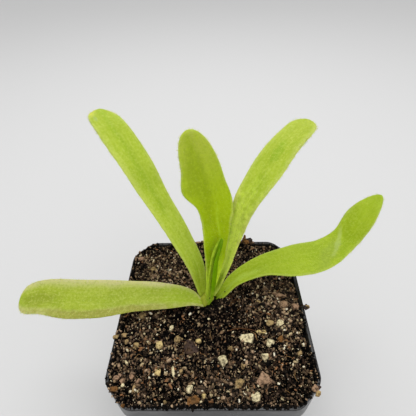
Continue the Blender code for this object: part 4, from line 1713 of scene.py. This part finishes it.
    def grow_glands(self, blade: bpy.types.Object, draw: np.random.Generator,
                    material: bpy.types.Material) -> None:
        """Sets sticky hairs on the blade's upper side, closer along its margins.

        Args:
            blade: The finished blade.
            draw: The source of chance.
            material: The hairs' finish.
        """
        mesh = blade.data
        mesh.calc_loop_triangles()
        corners = rows_of(mesh.loop_triangles, "vertices", np.int32)
        points = rows_of(mesh.vertices, "co")
        normals = rows_of(mesh.vertices, "normal")
        measures = rows_of(mesh.attributes["blade"].data, "vector")[corners].mean(axis=1)
        across, along, side = (measures[:, i] for i in range(3))
        first, second, third = (points[corners[:, i]] for i in range(3))
        areas = np.linalg.norm(np.cross(second - first, third - first), axis=1)
        margin = np.abs(across) > self.gland_margin
        outer = np.clip((along - self.short_foot) / (0.6 * self.distance[-1]), 0, 1)
        density = np.where(margin, self.gland_crowd * outer, 1.0) * (side > -0.35) * (along > self.bare_foot)
        chance = areas * density
        picks = draw.choice(len(corners), self.glands, p=chance / chance.sum())
        tall = self.gland_height + (self.margin_height - self.gland_height) * margin[picks] * outer[picks]
        shares = draw.dirichlet((1, 1, 1), self.glands)[:, :, None]
        seats = (points[corners[picks]] * shares).sum(axis=1)
        upright = (normals[corners[picks]] * shares).sum(axis=1)
        sizes = tall * draw.uniform(0.6, 1.1, self.glands) * MM
        turns = along_normals(draw, upright, sizes, self.gland_lean)
        tints = draw.uniform(0, 1, self.glands)
        stamp(self.name + "_glands", [gland_shape()], np.zeros(self.glands, dtype=int), turns, seats, tints,
              material, self.name, smooth=True)


def gland_shape() -> bpy.types.Mesh:
    """One sticky hair of unit height: a tapering stalk, sunk a little, with a bead on it.

    Returns:
        Its mesh.
    """
    bm = bmesh.new()
    bmesh.ops.create_cone(bm, cap_ends=True, segments=3, radius1=0.10, radius2=0.05, depth=1.0,
                          matrix=Matrix.Translation((0, 0, 0.40)))
    bmesh.ops.create_uvsphere(bm, u_segments=4, v_segments=2, radius=0.17,
                              matrix=Matrix.Translation((0, 0, 0.95)))
    return mesh_of(bm, "gland")


@dataclass
class Crown:
    """The crown: a short stem in the middle of the leaves, with its rootstock below the soil.

    The profile has its radii and the heights that they are at, from the foot up, in millimetres.
    """

    foot: Vector
    profile: tuple[tuple[float, float], ...] = (
        (1.1, -12), (2.2, -8), (2.9, -3), (3.1, 0), (2.7, 2.0), (2.2, 3.4), (1.5, 4.3), (0.7, 4.7))
    around: int = 64
    along: int = 80
    ribs: int = 6
    rib_depth: float = 0.07
    rib_twist: float = 0.4

    def build(self, finish: CrownFinish) -> bpy.types.Object:
        """Makes the stem, whose skin is ribbed by the leaf bases.

        Args:
            finish: Its skin.

        Returns:
            The crown.
        """
        low, high = self.profile[0][1], self.profile[-1][1] + 0.1
        rows = np.array(((0.0, low), *self.profile, (0.0, high)), dtype=float)
        knots = np.arange(len(rows), dtype=float)

        def place(turn: float, share: float) -> Vector:
            """A point of the ribbed skin.

            Args:
                turn: The share of the turn.
                share: The share of the length.

            Returns:
                The point.
            """
            radius, height = through(knots, rows, np.array((share * knots[-1],)))[0]
            angle = math.tau * turn
            ribbed = 1 + self.rib_depth * math.sin(self.ribs * angle + self.rib_twist * height)
            radius = max(0.0, radius) * (ribbed if 0 < share < 1 else 0.0)
            return self.foot + Vector((radius * math.cos(angle), radius * math.sin(angle), height)) * MM

        tube = loft(self.around, self.along, place)
        crown = add_piece(tube, "crown_stem", finish.material(), "crown")
        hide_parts("crown")
        return crown


class Lamp(NamedTuple):
    """A soft lamp: its name, its place, the point it aims at and its width, in metres, and its watts."""

    name: str
    place: tuple[float, float, float]
    aim: tuple[float, float, float]
    width: float
    power: float


@dataclass
class Studio:
    """The pale floor, the soft lights and the camera, set as the photograph was taken."""

    floor_width: float = 6.0
    room_light: float = 0.87
    lamps: tuple[Lamp, ...] = (
        Lamp("front_lamp", (0.20, -0.60, 0.45), (0.0, 0.0, 0.08), 0.5, 1.0),
        Lamp("top_lamp", (0.0, 0.21, 0.75), (0.0, 0.20, 0.0), 0.5, 3.0),
    )
    eye: Vector = Vector((1.84, -64.48, 160.15)) * MM
    look: tuple[float, float, float] = (49.941, 1.560, 0.503)
    lens: float = 28.14
    sensor: float = 36.0
    nearest: float = 0.005

    def lay_floor(self, finish: PaperFinish) -> None:
        """Lays the floor that the pot stands on.

        Args:
            finish: Its sheet.
        """
        bm = bmesh.new()
        bmesh.ops.create_grid(bm, x_segments=8, y_segments=8, size=self.floor_width / 2)
        mesh = mesh_of(bm, "floor")
        mesh.materials.append(finish.material())
        floor = add_object("floor", mesh)

    def light(self) -> None:
        """Sets the even light of the room and the lamps."""
        world = bpy.data.worlds.new("room")
        world.use_nodes = True
        room = world.node_tree.nodes["Background"]
        room.inputs["Color"].default_value = (1.0, 1.0, 1.0, 1.0)
        room.inputs["Strength"].default_value = self.room_light
        bpy.context.scene.world = world
        for lamp in self.lamps:
            data = bpy.data.lights.new(lamp.name, "AREA")
            data.shape = "SQUARE"
            data.size = lamp.width
            data.energy = lamp.power
            hung = add_object(lamp.name, data)
            hung.location = lamp.place
            hung.rotation_euler = (Vector(lamp.aim) - hung.location).to_track_quat("-Z", "Y").to_euler()

    def stand_camera(self) -> None:
        """Stands the camera where the photograph was taken from."""
        data = bpy.data.cameras.new("camera")
        data.lens = self.lens
        data.sensor_width = self.sensor
        data.clip_start = self.nearest
        camera = add_object("camera", data)
        camera.location = self.eye
        camera.rotation_euler = [math.radians(angle) for angle in self.look]
        bpy.context.scene.camera = camera
        bpy.context.scene.view_settings.view_transform = "Standard"


CROWN_FOOT = Vector((-1.7, 3.0, 58.5)) * MM


def greens(*shades: tuple[int, int, int]) -> dict[str, Colour]:
    """A leaf's four shades as a screen shows them, by the names that its finish has for them."""
    return dict(zip(("body", "deep", "light", "margin"), (screen(*shade) for shade in shades)))


LEFT_GREENS = greens((147, 162, 45), (128, 146, 29), (170, 178, 88), (192, 184, 136))
BACK_GREENS = greens((163, 182, 53), (142, 165, 34), (180, 193, 86), (194, 200, 114))
CENTRE_GREENS = greens((156, 180, 6), (138, 162, 2), (168, 188, 36), (190, 198, 104))
RIGHT_GREENS = greens((149, 170, 32), (133, 156, 19), (164, 182, 60), (180, 188, 104))
YOUNG_GREENS = greens((106, 148, 1), (90, 132, 1), (118, 156, 4), (140, 160, 40))

LEAVES = (
    Leaf("leaf_left", 184, 5.5, 2.6, 1.4, LeafFinish(
        "leaf_left_skin", **LEFT_GREENS, margin_from=0.42, margin_strength=0.9,
        band=screen(140, 160, 36), band_strength=0.25, band_width=0.5,
        marks=(
            Mark(58.0, -0.1, 8.0, 0.7, screen(118, 130, 26), 0.7),
            Mark(69.0, 0.0, 3.0, 1.2, screen(196, 188, 104), 0.6),
            Mark(34.0, -0.85, 40.0, 0.40, screen(134, 132, 54), 1.0),
            Mark(10.0, 0.0, 9.0, 1.4, screen(140, 164, 24), 0.6),
        ),
    ), (
        Station(0.5, 1.0, 1.0, 1.3, 1.3, 10, 40),
        Station(1.8, 2.1, 1.3, 1.2, 1.3, 10, 30),
        Station(5.5, 3.6, 0.1, 2.9, 2.9, 15, 25),
        Station(15.4, 5.7, -0.3, 4.8, 4.7, 15, 20),
        Station(26.4, 6.9, 0.0, 5.6, 5.7, 15, 20),
        Station(36.1, 7.3, 0.6, 6.5, 6.9, 15, 20),
        Station(46.6, 7.4, 0.1, 6.5, 7.2, 15, 20),
        Station(57.0, 7.3, -1.6, 5.7, 6.6, 15, 20),
        Station(64.7, 6.6, -1.8, 5.0, 5.0, 15, 20),
    ), groove_depth=0.12),
    Leaf("leaf_back_left", 138, 6.0, 2.0, 1.5, LeafFinish(
        "leaf_back_left_skin", **BACK_GREENS, band=screen(142, 168, 34), band_width=0.40, band_strength=0.7,
        tip=screen(142, 158, 36), tip_from=60.0, tip_length=16.0, tip_strength=0.6,
        marks=(
            Mark(5.0, 0.0, 10.0, 1.5, screen(174, 188, 54), 0.8),
            Mark(27.0, 0.0, 14.0, 1.4, screen(176, 194, 66), 0.6),
            Mark(50.0, -0.8, 26.0, 0.3, screen(188, 198, 90), 0.4),
            Mark(76.5, -0.80, 4.0, 0.30, screen(198, 194, 84), 0.7),
            Mark(77.5, -0.72, 1.5, 0.16, screen(112, 88, 44), 0.85),
            Mark(72.5, -0.62, 1.4, 0.16, screen(150, 168, 100), 0.7),
        ),
    ), (
        Station(1.0, 0.5, 0.3, 1.3, 1.3, 0, 60),
        Station(2.9, 2.8, -0.4, 1.6, 2.0, 0, 55),
        Station(6.6, 13.5, -1.6, 3.4, 3.3, 0, 35),
        Station(12.3, 23.0, -1.5, 4.1, 3.9, 0, 30),
        Station(22.6, 35.0, -1.3, 4.6, 4.7, 0, 25),
        Station(32.9, 47.6, -1.3, 5.6, 5.5, 0, 22),
        Station(42.4, 56.4, -1.4, 5.7, 4.6, 0, 20),
        Station(48.0, 59.1, -2.2, 6.0, 3.5, 0, 20),
    )),
    Leaf("leaf_centre", 95, 14.0, 2.0, 1.5, LeafFinish(
        "leaf_centre_skin", **CENTRE_GREENS, margin_from=0.88, margin_strength=0.6,
        band=screen(138, 160, 2), band_middle=-0.2, band_width=0.5, band_strength=0.5,
        tip=screen(168, 178, 68), tip_from=36.0, tip_length=24.0, tip_strength=0.85,
        foot_strength=0.0, gloss=0.08,
        marks=(
            # Painted light: the foot, which the other leaves shade, is lit up.
            Mark(8.0, 0.0, 14.0, 1.5, screen(212, 242, 62), 0.95),
            # Painted light over the young leaf's shadow.
            Mark(19.0, 0.4, 12.0, 0.6, screen(160, 194, 8), 0.6),
            Mark(29.0, 0.28, 11.0, 0.10, screen(172, 200, 44), 0.6),
            Mark(20.0, -0.5, 12.0, 0.5, screen(136, 170, 1), 0.5),
            Mark(46.0, -0.3, 13.0, 0.7, screen(130, 150, 16), 0.6),
            Mark(62.0, 0.1, 3.5, 1.0, screen(186, 194, 108), 0.4),
        ),
    ), (
        Station(0.5, 2.2, 0.1, 1.0, 1.0, 0, 35),
        Station(0.9, 5.2, -0.8, 1.4, 1.3, 0, 30),
        Station(4.7, 15.8, -3.8, 4.2, 2.4, 0, 34),
        Station(7.6, 25.7, -4.3, 5.3, 4.3, 0, 46),
        Station(9.5, 32.6, -2.8, 3.7, 6.9, 0, 38),
        Station(10.8, 37.5, -2.7, 4.8, 7.1, 0, 20),
        Station(12.7, 43.3, -1.5, 7.6, 6.4, 0, 14),
        Station(14.5, 48.7, -0.2, 6.2, 6.1, 0, 14),
        Station(17.8, 59.4, 2.7, 6.4, 6.3, 0, 14),
    )),
    Leaf("leaf_back_right", 40, 7.0, 2.0, 1.5, LeafFinish(
        "leaf_back_right_skin", **BACK_GREENS, band=screen(154, 170, 46), band_width=0.6, band_strength=0.4,
        tip=screen(146, 158, 40), tip_from=50.0, tip_length=20.0, tip_strength=0.6, foot_strength=0.0,
        marks=(
            Mark(47.0, 0.15, 6.0, 0.5, screen(142, 166, 32), 0.8),
            Mark(58.0, 0.1, 6.0, 0.4, screen(134, 164, 30), 0.8),
            Mark(34.0, -0.85, 18.0, 0.35, screen(200, 200, 108), 0.6),
            Mark(28.0, 0.9, 14.0, 0.30, screen(200, 198, 110), 0.6),
            # Painted light over the lower part, which the neighbouring leaves shade.
            Mark(14.0, 0.0, 36.0, 1.6, screen(216, 236, 88), 0.9),
            Mark(1.0, 0.0, 21.0, 1.5, screen(122, 150, 1), 0.95),
        ),
    ), (
        Station(0.8, 1.4, 0.2, 1.0, 1.0, -15, 55),
        Station(3.2, 3.9, 0.2, 1.1, 1.2, -15, 50),
        Station(8.4, 13.1, 0.4, 1.8, 2.1, -15, 35),
        Station(12.6, 23.7, 0.5, 2.6, 2.6, -10, 28),
        Station(17.3, 38.0, 0.3, 4.2, 5.1, 0, 22),
        Station(24.9, 46.0, 0.3, 4.9, 6.5, 0, 20),
        Station(32.0, 52.0, 0.7, 4.1, 6.6, 0, 20),
        Station(39.4, 55.0, 0.9, 3.7, 6.3, 0, 20),
        Station(44.4, 55.9, 1.2, 3.7, 5.7, 0, 20),
    )),
    Leaf("leaf_right", 20, 12.0, 2.0, 1.5, LeafFinish(
        "leaf_right_skin", **RIGHT_GREENS, margin_from=0.84, margin_strength=0.35, band=screen(150, 174, 24),
        band_strength=0.25,
        marks=(
            Mark(49.0, 0.2, 7.0, 1.0, screen(132, 150, 52), 0.6, -7.0),
            # Painted shade beyond the crease.
            Mark(56.0, 0.2, 3.6, 1.2, screen(132, 156, 18), 0.55, -7.0),
            # Painted highlight along the crease where the leaf bends up.
            Mark(51.4, -0.2, 2.2, 0.9, screen(176, 190, 118), 0.45, -7.5),
            Mark(1.0, 0.0, 7.0, 1.5, screen(122, 146, 30), 0.8),
            Mark(13.0, 0.3, 13.0, 0.5, screen(172, 196, 74), 0.6),
        ),
    ), (
        Station(0.6, 0.4, -0.2, 1.2, 1.2, 0, 50),
        Station(3.3, 1.6, -0.3, 1.5, 1.6, 0, 45),
        Station(11.1, 6.1, 1.7, 2.9, 3.0, 0, 30),
        Station(22.7, 10.1, 0.9, 4.6, 4.7, 0, 25),
        Station(32.5, 11.5, -1.8, 6.4, 7.0, 0, 20),
        Station(44.0, 12.9, -3.8, 6.4, 6.3, 0, 20),
        Station(52.0, 16.8, -3.4, 5.6, 4.6, 0, 20),
        Station(57.6, 22.9, -1.9, 6.2, 4.8, 0, 20),
        Station(65.8, 30.2, 0.6, 4.6, 3.1, 0, 15),
    )),
    Leaf("leaf_young", 90, 7.0, 2.0, 1.1, LeafFinish(
        "leaf_young_skin", **YOUNG_GREENS, margin_from=0.9, margin_strength=0.2,
        band=screen(84, 126, 1), band_strength=0.4, gloss=0.03,
        tip=screen(84, 118, 14), tip_from=17.0, tip_length=9.0, tip_strength=0.8, foot_strength=0.0, marks=(
            # Painted light on the left half, which faces into the shade between the leaves.
            Mark(11.0, -0.75, 24.0, 0.7, screen(182, 204, 56), 0.95),
            Mark(1.0, 0.0, 9.0, 1.5, screen(164, 186, 56), 0.9),
        ),
    ), (
        Station(-1.5, 2.6, 0.0, 1.0, 1.0, 0, 60),
        Station(-1.5, 5.1, -0.9, 1.5, 1.4, 0, 100),
        Station(1.0, 14.8, -2.5, 2.4, 2.3, 0, 140),
        Station(3.0, 22.4, -3.5, 1.8, 1.8, 0, 130),
        Station(4.8, 28.3, -5.2, 1.3, 1.3, 0, 100),
    ), around=48, along=110, glands=60, gland_height=0.14, margin_height=0.16),
)

CRUMB_FINISH = GrainFinish("peat_crumb", (
    (0.0, screen(3, 3, 3)),
    (0.3, screen(10, 9, 8)),
    (0.55, screen(36, 30, 25)),
    (0.75, screen(80, 65, 52)),
    (0.9, screen(130, 106, 84)),
    (1.0, screen(176, 150, 120)),
), stain_and_shade=screen(10, 8, 6))
GRIT_FINISH = GrainFinish("pale_grit", (
    (0.0, screen(70, 57, 45)),
    (0.3, screen(110, 90, 68)),
    (0.55, screen(144, 122, 92)),
    (0.78, screen(178, 160, 122)),
    (0.92, screen(208, 194, 156)),
    (1.0, screen(228, 220, 198)),
), roughness=0.8, depth=0.05 * MM)
BARK_FINISH = GrainFinish("bark_flake", (
    (0.0, screen(18, 14, 11)),
    (0.35, screen(44, 33, 26)),
    (0.65, screen(80, 64, 50)),
    (0.86, screen(122, 98, 74)),
    (1.0, screen(142, 100, 66)),
), pit=0.35 * MM)
CHIP_FINISH = GrainFinish("large_grain", (
    (Grain.DARK.value, screen(54, 47, 47)),
    (Grain.BROWN.value, screen(116, 80, 42)),
    (Grain.PINK.value, screen(154, 124, 100)),
    (Grain.TAN.value, screen(158, 134, 92)),
    (Grain.YELLOW.value, screen(197, 174, 118)),
    (Grain.CREAM.value, screen(213, 200, 160)),
), pit=0.8 * MM, depth=0.4 * MM, stain_and_shade=screen(84, 64, 42), stain_strength=0.62, contrast=1.0, painted_side_shade=0.85)
FIBRE_FINISH = GrainFinish("fibre", (
    (0.0, screen(34, 25, 18)),
    (0.5, screen(92, 60, 36)),
    (1.0, screen(150, 118, 76)),
), depth=0.03 * MM)


def main() -> None:
    """Builds the pot, the soil, the plant and the studio."""
    logging.basicConfig(level=logging.INFO, format="%(name)s: %(message)s")
    draw = np.random.default_rng(SEED)
    pot = NurseryPot()
    pot.build(PlasticFinish())
    soil = Soil(pot, CROWN_FOOT)
    soil.build_surface(PeatFinish())
    soil.lay_crumbs(draw, CRUMB_FINISH)
    soil.lay_rim(draw, CRUMB_FINISH)
    soil.lay_grits(draw, GRIT_FINISH)
    soil.lay_bark(draw, BARK_FINISH)
    soil.lay_chips(draw, CHIP_FINISH)
    soil.lay_fibres(draw, FIBRE_FINISH)
    Crown(CROWN_FOOT).build(CrownFinish())
    wet = GlandFinish().material()
    for leaf in LEAVES:
        leaf.grow_glands(leaf.build(CROWN_FOOT), draw, wet)
    studio = Studio()
    studio.lay_floor(PaperFinish())
    studio.light()
    studio.stand_camera()


if __name__ == "__main__":
    main()
